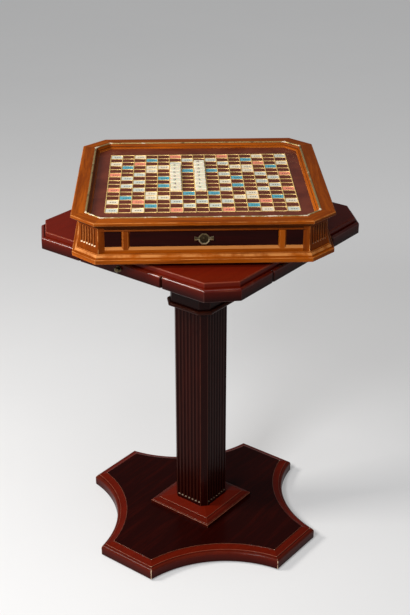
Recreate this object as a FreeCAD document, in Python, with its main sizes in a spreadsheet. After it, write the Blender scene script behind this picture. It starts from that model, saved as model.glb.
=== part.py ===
import FreeCAD, Part
import math
import os

import Sketcher

# A free-standing word game table: a rotating board cabinet on a fluted wooden pedestal.
# Millimetres, +Z up, origin on the floor under the middle of the column.
# The cabinet faces -Y. Everything below its turntable stands turned against it by turn_angle.

V = FreeCAD.Vector
UP = V(0, 0, 1)
doc = FreeCAD.newDocument("game_table")
sheet = doc.addObject("Spreadsheet::Sheet", "sizes")


# ------------------------------------------------------------------ sizes
class Size(float):
    """A number that carries the spreadsheet expression it comes from."""

    def __new__(cls, value, text):
        size = super().__new__(cls, value)
        size.text = text
        return size

    def __add__(self, other):
        return Size(float(self) + float(other), f"({self.text} + {text_of(other)})")

    def __radd__(self, other):
        return Size(float(other) + float(self), f"({text_of(other)} + {self.text})")

    def __sub__(self, other):
        return Size(float(self) - float(other), f"({self.text} - {text_of(other)})")

    def __rsub__(self, other):
        return Size(float(other) - float(self), f"({text_of(other)} - {self.text})")

    def __mul__(self, other):
        return Size(float(self) * float(other), f"({self.text} * {text_of(other)})")

    def __rmul__(self, other):
        return Size(float(other) * float(self), f"({text_of(other)} * {self.text})")

    def __truediv__(self, other):
        return Size(float(self) / float(other), f"({self.text} / {text_of(other)})")

    def __neg__(self):
        return Size(-float(self), f"(0 - {self.text})")


def text_of(number):
    """The expression of a Size, or a plain number as text."""
    return number.text if isinstance(number, Size) else f"{float(number):.10g}"


def root(size):
    """Square root that stays bound to the sheet."""
    return Size(math.sqrt(size), f"sqrt({size.text})")


def fill_sheet(rows):
    """Write every driving dimension into the sheet and return them by name."""
    named = {}
    for row, (name, value) in enumerate(rows.items(), start=1):
        sheet.set(f"A{row}", name)
        sheet.set(f"B{row}", str(value))
        sheet.setAlias(f"B{row}", name)
        named[name] = Size(value, f"sizes.{name}")
    doc.recompute()
    return named


S = fill_sheet({
    "turn_angle": 50.5,
    "gap": 0.3,                # running gap of boards that slide
    "fit_gap": 0.06,           # running gap of pins
    # glides under the feet
    "glide_height": 4, "glide_radius": 12, "glide_inset": 34,
    "nail_radius": 1.5, "nail_length": 12, "nail_clearance": 0.1,
    # base board with four feet
    "foot_reach": 245, "foot_half": 66, "hollow_radius": 218,
    "base_edge": 22.5, "base_round": 6, "base_step": 6.5, "base_raise": 6.5,
    "base_slope_in": 10.5, "base_slope_down": 4.5,
    # moulded block under the column
    "block_out": 34, "block_edge": 7.5, "block_bead_in": 9, "block_bead_rise": 5.5,
    "block_rise": 4, "block_bore": 6,
    # column of four fluted boards
    "column_half": 41.5, "column_chamfer": 10.5, "column_board": 14, "column_length": 451,
    "flute_edge": 4.6, "flute_count": 7, "flute_radius": 2.9, "flute_depth": 2.2, "flute_foot": 9,
    # capital, neck and cleat
    "collar_out": 14, "collar_height": 8.5, "collar_round": 4, "neck_out": 8, "neck_length": 118.5,
    "cleat_half": 80, "cleat_height": 15,
    # tie rod through the column
    "rod_radius": 5, "rod_clearance": 0.5, "rod_end": 1, "nut_radius": 8.5, "nut_height": 8,
    "washer_radius": 13, "washer_height": 2, "recess_clearance": 1,
    # table top
    "table_half": 236, "table_cut": 45.5, "cut_growth": 0.586, "rim_height": 23, "rim_width": 18,
    "lip_width": 5.4, "lip_round": 4, "lip_drop": 2, "bottom_thick": 6, "top_thick": 12,
    "top_inset": 7, "top_round": 3, "groove": 3,
    # pull-out slides in the table top
    "slide_half": 90, "front_lap": 6, "tray_spacing": 8, "slide_floor": 5, "slide_wall": 8,
    "runner_width": 12,
    "knob_radius": 5, "knob_reach": 8, "knob_neck": 2.2, "knob_foot": 6,
    # turntable bearing
    "plate_half": 76, "plate_thick": 2, "turn_gap": 4, "hub_radius": 20, "hub_wall": 4,
    "ball_radius": 1.85, "ball_circle": 55, "ball_count": 12, "cage_half_width": 5, "cage_thick": 1.6,
    "cage_clearance": 0.15,
    # screws
    "screw_edge": 12, "screw_head": 4, "screw_head_height": 2, "screw_radius": 1.65,
    "screw_bite": 5, "screw_clearance": 0.1,
    # cabinet walls and their moulding
    "cabinet_half": 217, "cabinet_cut": 34.4, "floor_thick": 6, "apron_thick": 14, "apron_height": 56,
    "post_stile": 11.1, "fascia_out": 13.5, "fascia_height": 8, "cove_out": 11, "cove_in": 2.5,
    "cove_start": 10, "cove_end": 18, "bead_out": 3.5, "bead_start": 19, "bead_end": 20.5,
    "flare": 5, "flare_height": 24, "post_flutes": 6, "post_flute_edge": 7.6, "post_flute_radius": 2.3,
    "post_flute_depth": 1.8, "post_flute_foot": 28, "post_flute_head": 6,
    # openings and panels in the walls
    "bottom_rail": 23, "top_rail": 7, "small_width": 29.5, "stile_width": 13.5,
    "panel_setback": 3, "panel_thick": 6,
    # frame round the board
    "frame_out": 13, "frame_height": 14, "frame_neck_out": 2, "frame_undercut": 7, "frame_quirk": 1,
    "frame_round": 2, "frame_in": 13.5, "trim_width": 1.7, "trim_lap": 0.8, "trim_thick": 1.2,
    "liner_width": 7.5,
    # playing board
    "board_thick": 6, "board_drop": 10.2, "board_gap": 0.5, "ledge_width": 8, "ledge_height": 4,
    "ledge_short": 21.5, "grid_length": 347, "grid_depth": 312, "grid_cells": 15,
    "bar_width": 1.8, "bar_height": 0.9,
    # tiles
    "tile_gap": 0.5, "tile_thick": 4.6,
    # drawer
    "drawer_reveal": 0.5, "front_thick": 10, "front_setback": 2, "box_inset": 6.5, "box_depth": 290,
    "box_rise": 3, "box_drop": 2, "box_wall": 8, "box_floor": 4, "divider_thick": 5,
    "runner_foot": 10, "runner_wall": 9,
    # drawer pull
    "pull_drop": 1.5, "pull_margin": 1, "pull_corner": 0.59, "pull_plate": 1.2, "rim_bar": 2.4,
    "rim_rise": 0.8, "boss_share": 0.34, "boss_rise": 1.6, "ear_in": 13, "ear_out": 17, "ear_half": 4.5,
    "ear_wall": 0.7, "pin_radius": 1, "pin_reach": 15.5, "bail_bar": 2.6,
})

# Heights of the stack, from the floor up.
base_low = S["glide_height"]
base_shoulder = base_low + S["base_edge"]
base_top = base_shoulder + S["base_raise"]
block_shoulder = base_top + S["block_edge"]
block_top = block_shoulder + S["block_bead_rise"] + S["block_rise"]
column_top = block_top + S["column_length"]
collar_top = column_top + S["collar_height"]
neck_top = collar_top + S["neck_length"]
table_low = neck_top + S["cleat_height"]
slide_low = table_low + S["bottom_thick"]
rim_top = table_low + S["rim_height"]
panel_low = rim_top - S["lip_drop"]
table_top = panel_low + S["top_thick"]
lower_plate_top = table_top + S["plate_thick"]
upper_plate_low = lower_plate_top + S["turn_gap"]
cabinet_low = upper_plate_low + S["plate_thick"]
floor_top = cabinet_low + S["floor_thick"]
frame_low = floor_top + S["apron_height"]
frame_top = frame_low + S["frame_height"]
board_top = frame_top - S["board_drop"]
board_low = board_top - S["board_thick"]


# ------------------------------------------------------------------ ways of making
nodes = {}
cuts = []


def keep(label, thing, turn=0.0):
    """Name a finished sub-part, turn it about the column axis and note it for writing."""
    thing.Label = label
    thing.Placement = FreeCAD.Placement(V(0, 0, 0), FreeCAD.Rotation(UP, float(turn)))
    nodes[label] = thing


def bind(thing, prop, size):
    """Bind a property to the sheet, or set it where it is a plain number."""
    if isinstance(size, Size):
        thing.setExpression(prop, size.text)
    else:
        setattr(thing, prop, size)


def new_body(label):
    return doc.addObject("PartDesign::Body", label)


# Which way each origin plane's sketch faces along its own axis.
FACING = {"XY_Plane": 1, "XZ_Plane": -1, "YZ_Plane": 1}


def sketch_on(body, plane, place):
    """A sketch on one of the body's origin planes, moved along that plane's axis to place."""
    sketch = body.newObject("Sketcher::SketchObject", "outline")
    support = [f for f in body.Origin.OriginFeatures if f.Role == plane][0]
    sketch.AttachmentSupport = [(support, "")]
    sketch.MapMode = "FlatFace"
    offset = place * FACING[plane]
    if isinstance(offset, Size):
        sketch.setExpression("AttachmentOffset.Base.z", offset.text)
    else:
        sketch.AttachmentOffset = FreeCAD.Placement(V(0, 0, offset), FreeCAD.Rotation())
    return sketch


def constrain(sketch, kind, *where, size):
    """Add a measured constraint and bind it to the sheet."""
    index = sketch.addConstraint(Sketcher.Constraint(kind, *where, float(size)))
    if isinstance(size, Size):
        sketch.setExpression(f"Constraints[{index}]", size.text)


def fix_point(sketch, geometry, end, point):
    """Hold one point of a sketch at its distances from the sketch origin."""
    for kind, axis, size in (("DistanceX", -2, point[0]), ("DistanceY", -1, point[1])):
        if abs(size) < 1e-9:
            sketch.addConstraint(Sketcher.Constraint("PointOnObject", geometry, end, axis))
        else:
            constrain(sketch, kind, -1, 1, geometry, end, size=size)


def hollow_arc(start, end, radius):
    """Arc from start to end that bends in towards the origin."""
    half_chord = (end - start).Length / 2
    middle = (start + end) * 0.5
    centre = middle + V(middle).normalize() * math.sqrt(radius ** 2 - half_chord ** 2)
    first = math.atan2(end.y - centre.y, end.x - centre.x)
    last = math.atan2(start.y - centre.y, start.x - centre.x)
    return Part.ArcOfCircle(Part.Circle(centre, UP, radius), first, last)


def add_loop(sketch, points, hollow=None):
    """Closed outline, counterclockwise; hollow is the radius of every second side."""
    first = sketch.GeometryCount
    count = len(points)
    ends = []
    for side in range(count):
        start, end = V(*points[side]), V(*points[(side + 1) % count])
        if hollow is None or side % 2 == 0:
            sketch.addGeometry(Part.LineSegment(start, end))
            ends.append((1, 2))
        else:
            sketch.addGeometry(hollow_arc(start, end, float(hollow)))
            ends.append((2, 1))
    for side in range(count):
        after = (side + 1) % count
        sketch.addConstraint(Sketcher.Constraint(
            "Coincident", first + side, ends[side][1], first + after, ends[after][0]))
        if ends[side][0] == 2:
            constrain(sketch, "Radius", first + side, size=hollow)
    for side in range(0, count, 1 if hollow is None else 2):
        fix_point(sketch, first + side, 1, points[side])
        if hollow is not None:
            fix_point(sketch, first + side, 2, points[side + 1])


def add_circle(sketch, centre, radius):
    geometry = sketch.addGeometry(Part.Circle(V(*centre), UP, float(radius)))
    fix_point(sketch, geometry, 3, centre)
    constrain(sketch, "Radius", geometry, size=radius)


def pad(body, sketch, length, plane="XY_Plane"):
    """Pad a sketch along its plane's positive axis."""
    feature = body.newObject("PartDesign::Pad", "pad")
    feature.Profile = sketch
    feature.Reversed = FACING[plane] < 0
    bind(feature, "Length", length)
    body.Tip = feature
    return feature


def pocket(body, sketch, depth):
    """Cut against the sketch's facing: downwards, backwards or to the left."""
    before = body.Tip
    feature = body.newObject("PartDesign::Pocket", "pocket")
    feature.Profile = sketch
    bind(feature, "Length", depth)
    body.Tip = feature
    cuts.append((feature, before))
    return feature


def edges_where(feature, test):
    """Names of a feature's edges whose vertices all pass the test."""
    found = []
    for number, edge in enumerate(feature.Shape.Edges, start=1):
        if all(test(vertex.Point) for vertex in edge.Vertexes):
            found.append(f"Edge{number}")
    return found


def ease(body, kind, test, **sizes):
    """Fillet or chamfer the edges of the body's tip that pass the test."""
    doc.recompute()
    base = body.Tip
    feature = body.newObject(f"PartDesign::{kind}", kind.lower())
    feature.Base = (base, edges_where(base, test))
    for prop, size in sizes.items():
        bind(feature, prop, size)
    body.Tip = feature
    return feature


def board(label, outline, low, high, plane="XY_Plane", holes=(), bores=(), hollow=None):
    """A flat board: an outline padded from low to high, with shaped holes and round bores."""
    body = new_body(label)
    sketch = sketch_on(body, plane, low)
    add_loop(sketch, outline, hollow)
    for hole in holes:
        add_loop(sketch, hole)
    for centre, radius in bores:
        add_circle(sketch, centre, radius)
    pad(body, sketch, high - low, plane)
    return body


def bored(body, places, radius, high, depth):
    """Blind round holes sunk downwards from high."""
    sketch = sketch_on(body, "XY_Plane", high)
    for place in places:
        add_circle(sketch, place, radius)
    return pocket(body, sketch, depth)


def turned(label, profile, plane, place):
    """A turned piece: a profile of (radius, height) spun about its sketch's upright axis."""
    body = new_body(label)
    sketch = sketch_on(body, plane, place)
    add_loop(sketch, profile)
    spin = body.newObject("PartDesign::Revolution", "spin")
    spin.Profile = sketch
    spin.ReferenceAxis = (sketch, ["V_Axis"])
    spin.Angle = 360
    body.Tip = spin
    return body


def rectangle(left, right, low, high):
    return [(left, low), (right, low), (right, high), (left, high)]


def corners_of(place):
    """The four points at plus and minus place."""
    return [(place, place), (-place, place), (-place, -place), (place, -place)]


def box(low, high):
    """A Part box between two corners, bound to the sheet."""
    solid = doc.addObject("Part::Box", "box")
    for prop, axis in (("Length", 0), ("Width", 1), ("Height", 2)):
        bind(solid, prop, high[axis] - low[axis])
    place_at(solid, low)
    return solid


def rod(centre, radius, low, high):
    """An upright Part cylinder, bound to the sheet."""
    solid = doc.addObject("Part::Cylinder", "rod")
    bind(solid, "Radius", radius)
    bind(solid, "Height", high - low)
    place_at(solid, (*centre, low))
    return solid


def place_at(solid, point):
    """Put a primitive's own origin at a point, bound to the sheet where it is a size."""
    solid.Placement.Base = V(*point)
    for axis, size in zip("xyz", point):
        if isinstance(size, Size):
            solid.setExpression(f"Placement.Base.{axis}", size.text)


def joined(kind, solids):
    """A boolean or compound of several objects."""
    whole = doc.addObject(f"Part::{kind}", "whole")
    setattr(whole, "Links" if kind == "Compound" else "Shapes", solids)
    return whole


# Outlines of parallel octagons: a square of a given half width with its corners cut off.
def octagon_vertex(half, at_half, at_cut):
    """Where a parallel octagon's long side ends: half less its cut."""
    return half - (at_cut + S["cut_growth"] * (half - at_half))


def octagon(half, at_half, at_cut):
    """The eight corners, counterclockwise from the left end of the front side."""
    end = octagon_vertex(half, at_half, at_cut)
    return [(-end, -half), (end, -half), (half, -end), (half, end),
            (end, half), (-end, half), (-half, end), (-half, -end)]


def table_octagon(half):
    return octagon(half, S["table_half"], S["table_cut"])


def cabinet_octagon(half):
    return octagon(half, S["cabinet_half"], S["cabinet_cut"])


def swept(section, stations, closed=False):
    """Solid of a section of (half width, height) points carried past stations, mitred at each.

    A station is a function from half width to the point (x, y) of that mitre."""
    rings = [[V(*station(half), height) for half, height in section] for station in stations]
    faces = []
    count = len(section)
    pairs = list(zip(rings, rings[1:]))
    if closed:
        pairs.append((rings[-1], rings[0]))
    else:
        faces += [face_of(rings[0]), face_of(rings[-1])]
    for near, far in pairs:
        for side in range(count):
            after = (side + 1) % count
            faces.append(face_of([near[side], near[after], far[after], far[side]]))
    solid = Part.Solid(Part.Shell(faces))
    if solid.Volume < 0:
        solid.reverse()
    return solid


def face_of(points):
    return Part.Face(Part.makePolygon(points + points[:1]))


def mitres(outline):
    """The eight mitre stations of a family of parallel octagons."""
    return [lambda half, corner=corner: outline(half)[corner] for corner in range(8)]


def corner_stations(outline, start):
    """Stations that carry a section round the front left cut corner, from start to start."""
    eight = mitres(outline)
    return [lambda half: (-half, -start), eight[7], eight[0], lambda half: (-start, -half)]


def shaped(label, shape, turn=0.0):
    """A sub-part whose shape comes from Part's functions."""
    feature = doc.addObject("Part::Feature", label)
    feature.Shape = shape
    keep(label, feature, turn)


def four_round(shape):
    """The same piece at each quarter turn about the column axis."""
    quarters = []
    for quarter in range(4):
        piece = shape.copy()
        piece.rotate(V(0, 0, 0), UP, 90 * quarter)
        quarters.append(piece)
    return Part.makeCompound(quarters)


def mitred_frame(label, section, outline, turn=0.0):
    """A frame of eight lengths, mitred to each other at the corners."""
    stations = mitres(outline)
    lengths = [swept(section, [stations[k], stations[(k + 1) % 8]]) for k in range(8)]
    shaped(label, Part.makeCompound(lengths), turn)


def flute(radius, depth, face, across, low, high):
    """A round-ended flute's cutter on the front face y = -face."""
    axis_y = -face - radius + depth
    cutter = Part.makeCylinder(radius, high - low, V(across, axis_y, low), UP)
    for end in (low, high):
        cutter = cutter.fuse(Part.makeSphere(radius, V(across, axis_y, end)))
    return cutter


# ------------------------------------------------------------------ glides, base board and block
turn = S["turn_angle"]
SIDES = ("front_right", "rear_right", "rear_left", "front_left")
glide_place = S["foot_reach"] - S["glide_inset"]
glide_places = [(glide_place, 0), (0, glide_place), (-glide_place, 0), (0, -glide_place)]

glides = []
for place in glide_places:
    disc = rod(place, S["glide_radius"], 0, base_low)
    nail = rod(place, S["nail_radius"], base_low, base_low + S["nail_length"])
    glides.append(joined("MultiFuse", [disc, nail]))
keep("foot_glides", joined("Compound", glides), turn)


def foot_outline(inset):
    """Four straight foot ends joined by hollow arcs about fixed centres."""
    reach, half, radius = S["foot_reach"], S["foot_half"], S["hollow_radius"]
    middle = (reach + half) / 2
    half_chord_squared = (reach - half) * (reach - half) / 2
    centre = middle + root((radius * radius - half_chord_squared) / 2)
    end = reach - inset
    spread = root((radius + inset) * (radius + inset) - (centre - end) * (centre - end))
    side = centre - spread
    return [(end, -side), (end, side), (side, end), (-side, end),
            (-end, side), (-end, -side), (-side, -end), (side, -end)]


rod_bore = S["rod_radius"] + S["rod_clearance"]
recess_radius = S["washer_radius"] + S["recess_clearance"]
recess_depth = S["nut_height"] + S["washer_height"] + 2 * S["rod_end"]

base = board("base_board", foot_outline(0), base_low, base_shoulder, hollow=S["hollow_radius"])
ease(base, "Fillet", lambda p: abs(p.z - base_shoulder) < 1e-3, Radius=S["base_round"])
field = sketch_on(base, "XY_Plane", base_shoulder)
add_loop(field, foot_outline(S["base_step"]), S["hollow_radius"] + S["base_step"])
pad(base, field, S["base_raise"])
chamfer = ease(base, "Chamfer", lambda p: abs(p.z - base_top) < 1e-3)
chamfer.ChamferType = "Two distances"
bind(chamfer, "Size", S["base_slope_down"])
bind(chamfer, "Size2", S["base_slope_in"])
bored(base, [(0, 0)], rod_bore, base_top, base_top - base_low)
recess_top = base_low + recess_depth
bored(base, [(0, 0)], recess_radius, recess_top, recess_depth)
bored(base, glide_places, S["nail_radius"] + S["nail_clearance"],
      base_low + S["nail_length"] + S["nail_clearance"], S["nail_length"] + S["nail_clearance"])
keep("base_board", base, turn)

block_half = S["column_half"] + S["block_out"]
SQUARE = [lambda half: (-half, -half), lambda half: (half, -half),
          lambda half: (half, half), lambda half: (-half, half)]
bead_half = block_half - S["block_bead_in"]
bead_top = block_shoulder + S["block_bead_rise"]
shaped("column_block", swept([
    (S["block_bore"], base_top), (block_half, base_top), (block_half, block_shoulder),
    (bead_half, bead_top), (S["column_half"], block_top), (S["block_bore"], block_top),
], SQUARE, closed=True), turn)


# ------------------------------------------------------------------ column, capital and tie rod
def column_section():
    """Front board of the column: mitred at the back, with half of each corner chamfer."""
    half, cut, inner = S["column_half"], S["column_chamfer"], S["column_half"] - S["column_board"]
    mitre = half - cut / 2
    return [(cut - half, -half), (half - cut, -half), (mitre, -mitre),
            (inner, -inner), (-inner, -inner), (-mitre, -mitre)]


def slot_sketch(body, face, low, high, radius, across):
    """A round-ended slot on the front face, from low to high."""
    sketch = sketch_on(body, "XZ_Plane", -face)
    left, right = V(across - radius, low), V(across + radius, high)
    sketch.addGeometry(Part.LineSegment(left, V(left.x, right.y)))
    sketch.addGeometry(Part.LineSegment(right, V(right.x, left.y)))
    for height, first in ((high, 0), (low, math.pi)):
        circle = Part.Circle(V(across, height), UP, float(radius))
        sketch.addGeometry(Part.ArcOfCircle(circle, first, first + math.pi))
    for line, line_end, arc, arc_end in ((0, 2, 2, 2), (1, 1, 2, 1), (1, 2, 3, 2), (0, 1, 3, 1)):
        sketch.addConstraint(Sketcher.Constraint("Tangent", line, line_end, arc, arc_end))
    sketch.addConstraint(Sketcher.Constraint("Vertical", 0))
    fix_point(sketch, 2, 3, (across, high))
    fix_point(sketch, 3, 3, (across, low))
    constrain(sketch, "Radius", 2, size=radius)
    return sketch


flute_low = block_top + S["flute_foot"]
flute_high = column_top - S["flute_foot"]
flute_span = 2 * (S["column_half"] - S["column_chamfer"] - S["flute_edge"])
for quarter, side in enumerate(SIDES):
    panel = board(f"column_board_{side}", column_section(), block_top, column_top)
    slot = slot_sketch(panel, S["column_half"], flute_low, flute_high, S["flute_radius"], -flute_span / 2)
    groove = pocket(panel, slot, S["flute_depth"])
    row = panel.newObject("PartDesign::LinearPattern", "flutes")
    row.Originals = [groove]
    row.Direction = (slot, ["H_Axis"])
    bind(row, "Length", flute_span)
    bind(row, "Occurrences", S["flute_count"])
    panel.Tip = row
    keep(f"column_board_{side}", panel, turn + 90 * quarter)


def cut_square(half, cut):
    end = half - cut
    return [(-end, -half), (end, -half), (half, -end), (half, end),
            (end, half), (-end, half), (-half, end), (-half, -end)]


collar_cut = S["column_chamfer"] + S["collar_out"] * S["cut_growth"]
collar_outline = cut_square(S["column_half"] + S["collar_out"], collar_cut)
collar = board("capital_collar", collar_outline, column_top, collar_top,
               bores=[((0, 0), rod_bore)])
ease(collar, "Fillet", lambda p: math.hypot(p.x, p.y) > 2 * rod_bore
     and min(abs(p.z - column_top), abs(p.z - collar_top)) < 1e-3, Radius=S["collar_round"])
keep("capital_collar", collar, turn)

neck_cut = S["column_chamfer"] + S["neck_out"] * S["cut_growth"]
neck_outline = cut_square(S["column_half"] + S["neck_out"], neck_cut)
keep("neck_block", board("neck_block", neck_outline, collar_top, neck_top,
                         bores=[((0, 0), rod_bore)]), turn)

screw_bore = S["screw_radius"] + S["screw_clearance"]
screw_places = corners_of(S["plate_half"] - S["screw_edge"])
cleat_bores = [((0, 0), rod_bore)] + [(place, screw_bore) for place in screw_places]
cleat_size = S["cleat_half"]
cleat = board("table_cleat", rectangle(-cleat_size, cleat_size, -cleat_size, cleat_size),
              neck_top, table_low, bores=cleat_bores)
bored(cleat, [(0, 0)], recess_radius, table_low, recess_depth)
keep("table_cleat", cleat, turn)

rod_low = base_low + S["rod_end"]
rod_high = table_low - S["rod_end"]
keep("tie_rod", joined("Compound", [rod((0, 0), S["rod_radius"], rod_low, rod_high)]), turn)


def ring(low, high, outer, inner):
    """A flat ring on the column axis."""
    hole = rod((0, 0), inner, low, high)
    whole = doc.addObject("Part::Cut", "ring")
    whole.Base = rod((0, 0), outer, low, high)
    whole.Tool = hole
    return whole


def nut(low):
    """A hexagon nut on the tie rod."""
    hexagon = doc.addObject("Part::Prism", "hexagon")
    hexagon.Polygon = 6
    bind(hexagon, "Circumradius", S["nut_radius"])
    bind(hexagon, "Height", S["nut_height"])
    place_at(hexagon, (0, 0, low))
    whole = doc.addObject("Part::Cut", "nut")
    whole.Base = hexagon
    whole.Tool = rod((0, 0), S["rod_radius"] + S["fit_gap"], low, low + S["nut_height"])
    return whole


low_washer = recess_top - S["washer_height"]
high_washer = table_low - recess_depth
thread = S["rod_radius"] + S["fit_gap"]
keep("tie_rod_nuts_and_washers", joined("Compound", [
    ring(low_washer, recess_top, S["washer_radius"], thread), nut(low_washer - S["nut_height"]),
    ring(high_washer, high_washer + S["washer_height"], S["washer_radius"], thread),
    nut(high_washer + S["washer_height"])]), turn)

# ------------------------------------------------------------------ table top
rim_inner = S["table_half"] - S["rim_width"]
floor_half = rim_inner - S["gap"]
keep("table_bottom_board", board(
    "table_bottom_board", table_octagon(floor_half), table_low, slide_low,
    bores=[(place, screw_bore) for place in screw_places]), turn)

lip_in = S["table_half"] - S["lip_width"]
lip_round = S["lip_round"]
rim_section = [
    (floor_half, table_low), (S["table_half"], table_low),
    (S["table_half"], rim_top - lip_round), (S["table_half"] - lip_round * 0.3, rim_top - lip_round * 0.3),
    (S["table_half"] - lip_round, rim_top), (lip_in, rim_top), (lip_in, panel_low),
    (floor_half, panel_low)]
corner_start = S["slide_half"] + S["front_lap"]
corner_block = swept(rim_section, corner_stations(table_octagon, corner_start))
v_cut = S["groove"]
grooves = []
for centre in (V(-corner_start, -S["table_half"]), V(-S["table_half"], -corner_start)):
    prism_side = v_cut * math.sqrt(2)
    prism = Part.makeBox(prism_side, prism_side, S["rim_height"], V(-prism_side / 2, -prism_side / 2, 0))
    prism.rotate(V(0, 0, 0), UP, 45)
    prism.translate(centre + UP * table_low)
    grooves.append(prism)
shaped("table_corner_blocks", four_round(corner_block.cut(grooves)), turn)

panel_half = S["table_half"] - S["top_inset"]
top_panel = board("table_top_panel", table_octagon(panel_half), panel_low, table_top)
ease(top_panel, "Fillet", lambda p: abs(p.z - table_top) < 1e-3, Radius=S["top_round"])
bored(top_panel, screw_places, screw_bore, table_top, S["screw_bite"] + S["screw_clearance"])
keep("table_top_panel", top_panel, turn)

runner_in = S["slide_half"] + S["gap"]
runner_out = runner_in + S["runner_width"]
runners = []
for x_side in (-1, 1):
    for y_side in (-1, 1):
        long_x = sorted((x_side * runner_out, x_side * floor_half))
        short_x = sorted((x_side * runner_in, x_side * runner_out))
        long_y = sorted((y_side * runner_out, y_side * floor_half))
        short_y = sorted((y_side * runner_in, y_side * runner_out))
        for xs, ys in ((long_x, short_y), (short_x, long_y)):
            runners.append(box((xs[0], ys[0], slide_low), (xs[1], ys[1], panel_low)))
keep("slide_runners", joined("Compound", runners), turn)

# ------------------------------------------------------------------ pull-out slides
front_half = corner_start - S["gap"]
slide_high = panel_low - S["gap"]
tray_low = slide_low + S["gap"]
tray_back = S["slide_half"] + S["tray_spacing"]
knob_height = (table_low + rim_top) / 2
face = S["table_half"]
front_outline = [
    (v_cut - front_half, -face), (front_half - v_cut, -face), (front_half, v_cut - face),
    (front_half, -rim_inner), (-front_half, -rim_inner), (-front_half, v_cut - face)]
knob_profile = [
    (0, -face), (0, -face - S["knob_reach"]), (S["knob_radius"] * 0.6, -face - S["knob_reach"]),
    (S["knob_radius"], -face - S["knob_reach"] * 0.8), (S["knob_radius"], -face - S["knob_reach"] * 0.6),
    (S["knob_neck"], -face - S["knob_reach"] * 0.4), (S["knob_neck"], -face - S["knob_reach"] * 0.2),
    (S["knob_foot"], -face - S["knob_reach"] * 0.1), (S["knob_foot"], -face)]
for quarter, side in enumerate(SIDES):
    slide_front = board(f"slide_front_{side}", front_outline, table_low, rim_top)
    rebate = sketch_on(slide_front, "XY_Plane", rim_top)
    add_loop(rebate, rectangle(-corner_start, corner_start, -lip_in, S["gap"] - rim_inner))
    pocket(slide_front, rebate, rim_top - slide_high)
    ease(slide_front, "Fillet", lambda p: abs(p.z - rim_top) < 1e-3 and p.y < 1e-3 - face,
         Radius=lip_round)
    keep(f"slide_front_{side}", slide_front, turn + 90 * quarter)

    wall = S["slide_wall"]
    tray = board(f"slide_tray_{side}", rectangle(-S["slide_half"], S["slide_half"], -rim_inner, -tray_back),
                 tray_low, slide_high)
    well = sketch_on(tray, "XY_Plane", slide_high)
    add_loop(well, rectangle(wall - S["slide_half"], S["slide_half"] - wall,
                             wall - rim_inner, -tray_back - wall))
    pocket(tray, well, slide_high - tray_low - S["slide_floor"])
    keep(f"slide_tray_{side}", tray, turn + 90 * quarter)

    keep(f"slide_knob_{side}", turned(f"slide_knob_{side}", knob_profile, "XY_Plane", knob_height),
         turn + 90 * quarter)

# ------------------------------------------------------------------ turntable bearing
plate_size = S["plate_half"]
plate_outline = rectangle(-plate_size, plate_size, -plate_size, plate_size)
plate_screws = [(place, screw_bore) for place in screw_places]
hub_top = cabinet_low - S["gap"]
hub_inner = S["hub_radius"] - S["hub_wall"]

lower_plate = board("turntable_lower_plate", plate_outline, table_top, lower_plate_top,
                    bores=[((0, 0), hub_inner)] + plate_screws)
hub = sketch_on(lower_plate, "XY_Plane", lower_plate_top)
add_circle(hub, (0, 0), S["hub_radius"])
add_circle(hub, (0, 0), hub_inner)
pad(lower_plate, hub, hub_top - lower_plate_top)
keep("turntable_lower_plate", lower_plate, turn)

keep("turntable_upper_plate", board(
    "turntable_upper_plate", plate_outline, upper_plate_low, cabinet_low,
    bores=[((0, 0), S["hub_radius"] + S["fit_gap"])] + plate_screws))

ball_height = (lower_plate_top + upper_plate_low) / 2
balls = []
for index in range(int(S["ball_count"])):
    ball = doc.addObject("Part::Sphere", "ball")
    bind(ball, "Radius", S["ball_radius"])
    angle = 2 * math.pi * index / S["ball_count"]
    centre = (S["ball_circle"] * math.cos(angle), S["ball_circle"] * math.sin(angle), ball_height)
    place_at(ball, centre)
    balls.append(ball)
keep("turntable_balls", joined("Compound", balls))

cage_low = ball_height - S["cage_thick"] / 2
cage = new_body("ball_cage")
cage_ring = sketch_on(cage, "XY_Plane", cage_low)
add_circle(cage_ring, (0, 0), S["ball_circle"] + S["cage_half_width"])
add_circle(cage_ring, (0, 0), S["ball_circle"] - S["cage_half_width"])
pad(cage, cage_ring, S["cage_thick"])
ball_seat = bored(cage, [(S["ball_circle"], 0)], S["ball_radius"] + S["cage_clearance"],
                  cage_low + S["cage_thick"], S["cage_thick"])
seats = cage.newObject("PartDesign::PolarPattern", "seats")
seats.Originals = [ball_seat]
seats.Axis = (cage_ring, ["N_Axis"])
seats.Angle = 360
bind(seats, "Occurrences", S["ball_count"])
cage.Tip = seats
keep("ball_cage", cage)


def screws(label, head_low, shank_low, shank_high, turn_by):
    """Four pan-head screws at the corners of the plates, heads at head_low."""
    four = []
    for place in screw_places:
        head = rod(place, S["screw_head"], head_low, head_low + S["screw_head_height"])
        shank = rod(place, S["screw_radius"], shank_low, shank_high)
        four.append(joined("MultiFuse", [head, shank]))
    keep(label, joined("Compound", four), turn_by)


screws("cleat_screws", neck_top - S["screw_head_height"], neck_top, table_low + S["screw_bite"], turn)
screws("lower_plate_screws", lower_plate_top, table_top - S["screw_bite"], lower_plate_top, turn)
screws("upper_plate_screws", upper_plate_low - S["screw_head_height"], upper_plate_low,
       cabinet_low + S["screw_bite"], 0.0)

# ------------------------------------------------------------------ cabinet walls
wall_half = S["cabinet_half"]
wall_inner = wall_half - S["apron_thick"]
cabinet_floor = board("cabinet_floor", cabinet_octagon(wall_half), cabinet_low, floor_top,
                      bores=[((0, 0), S["hub_radius"])])
bored(cabinet_floor, screw_places, screw_bore, cabinet_low + S["screw_bite"] + S["screw_clearance"],
      S["screw_bite"] + S["screw_clearance"])
keep("cabinet_floor", cabinet_floor)

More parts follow.
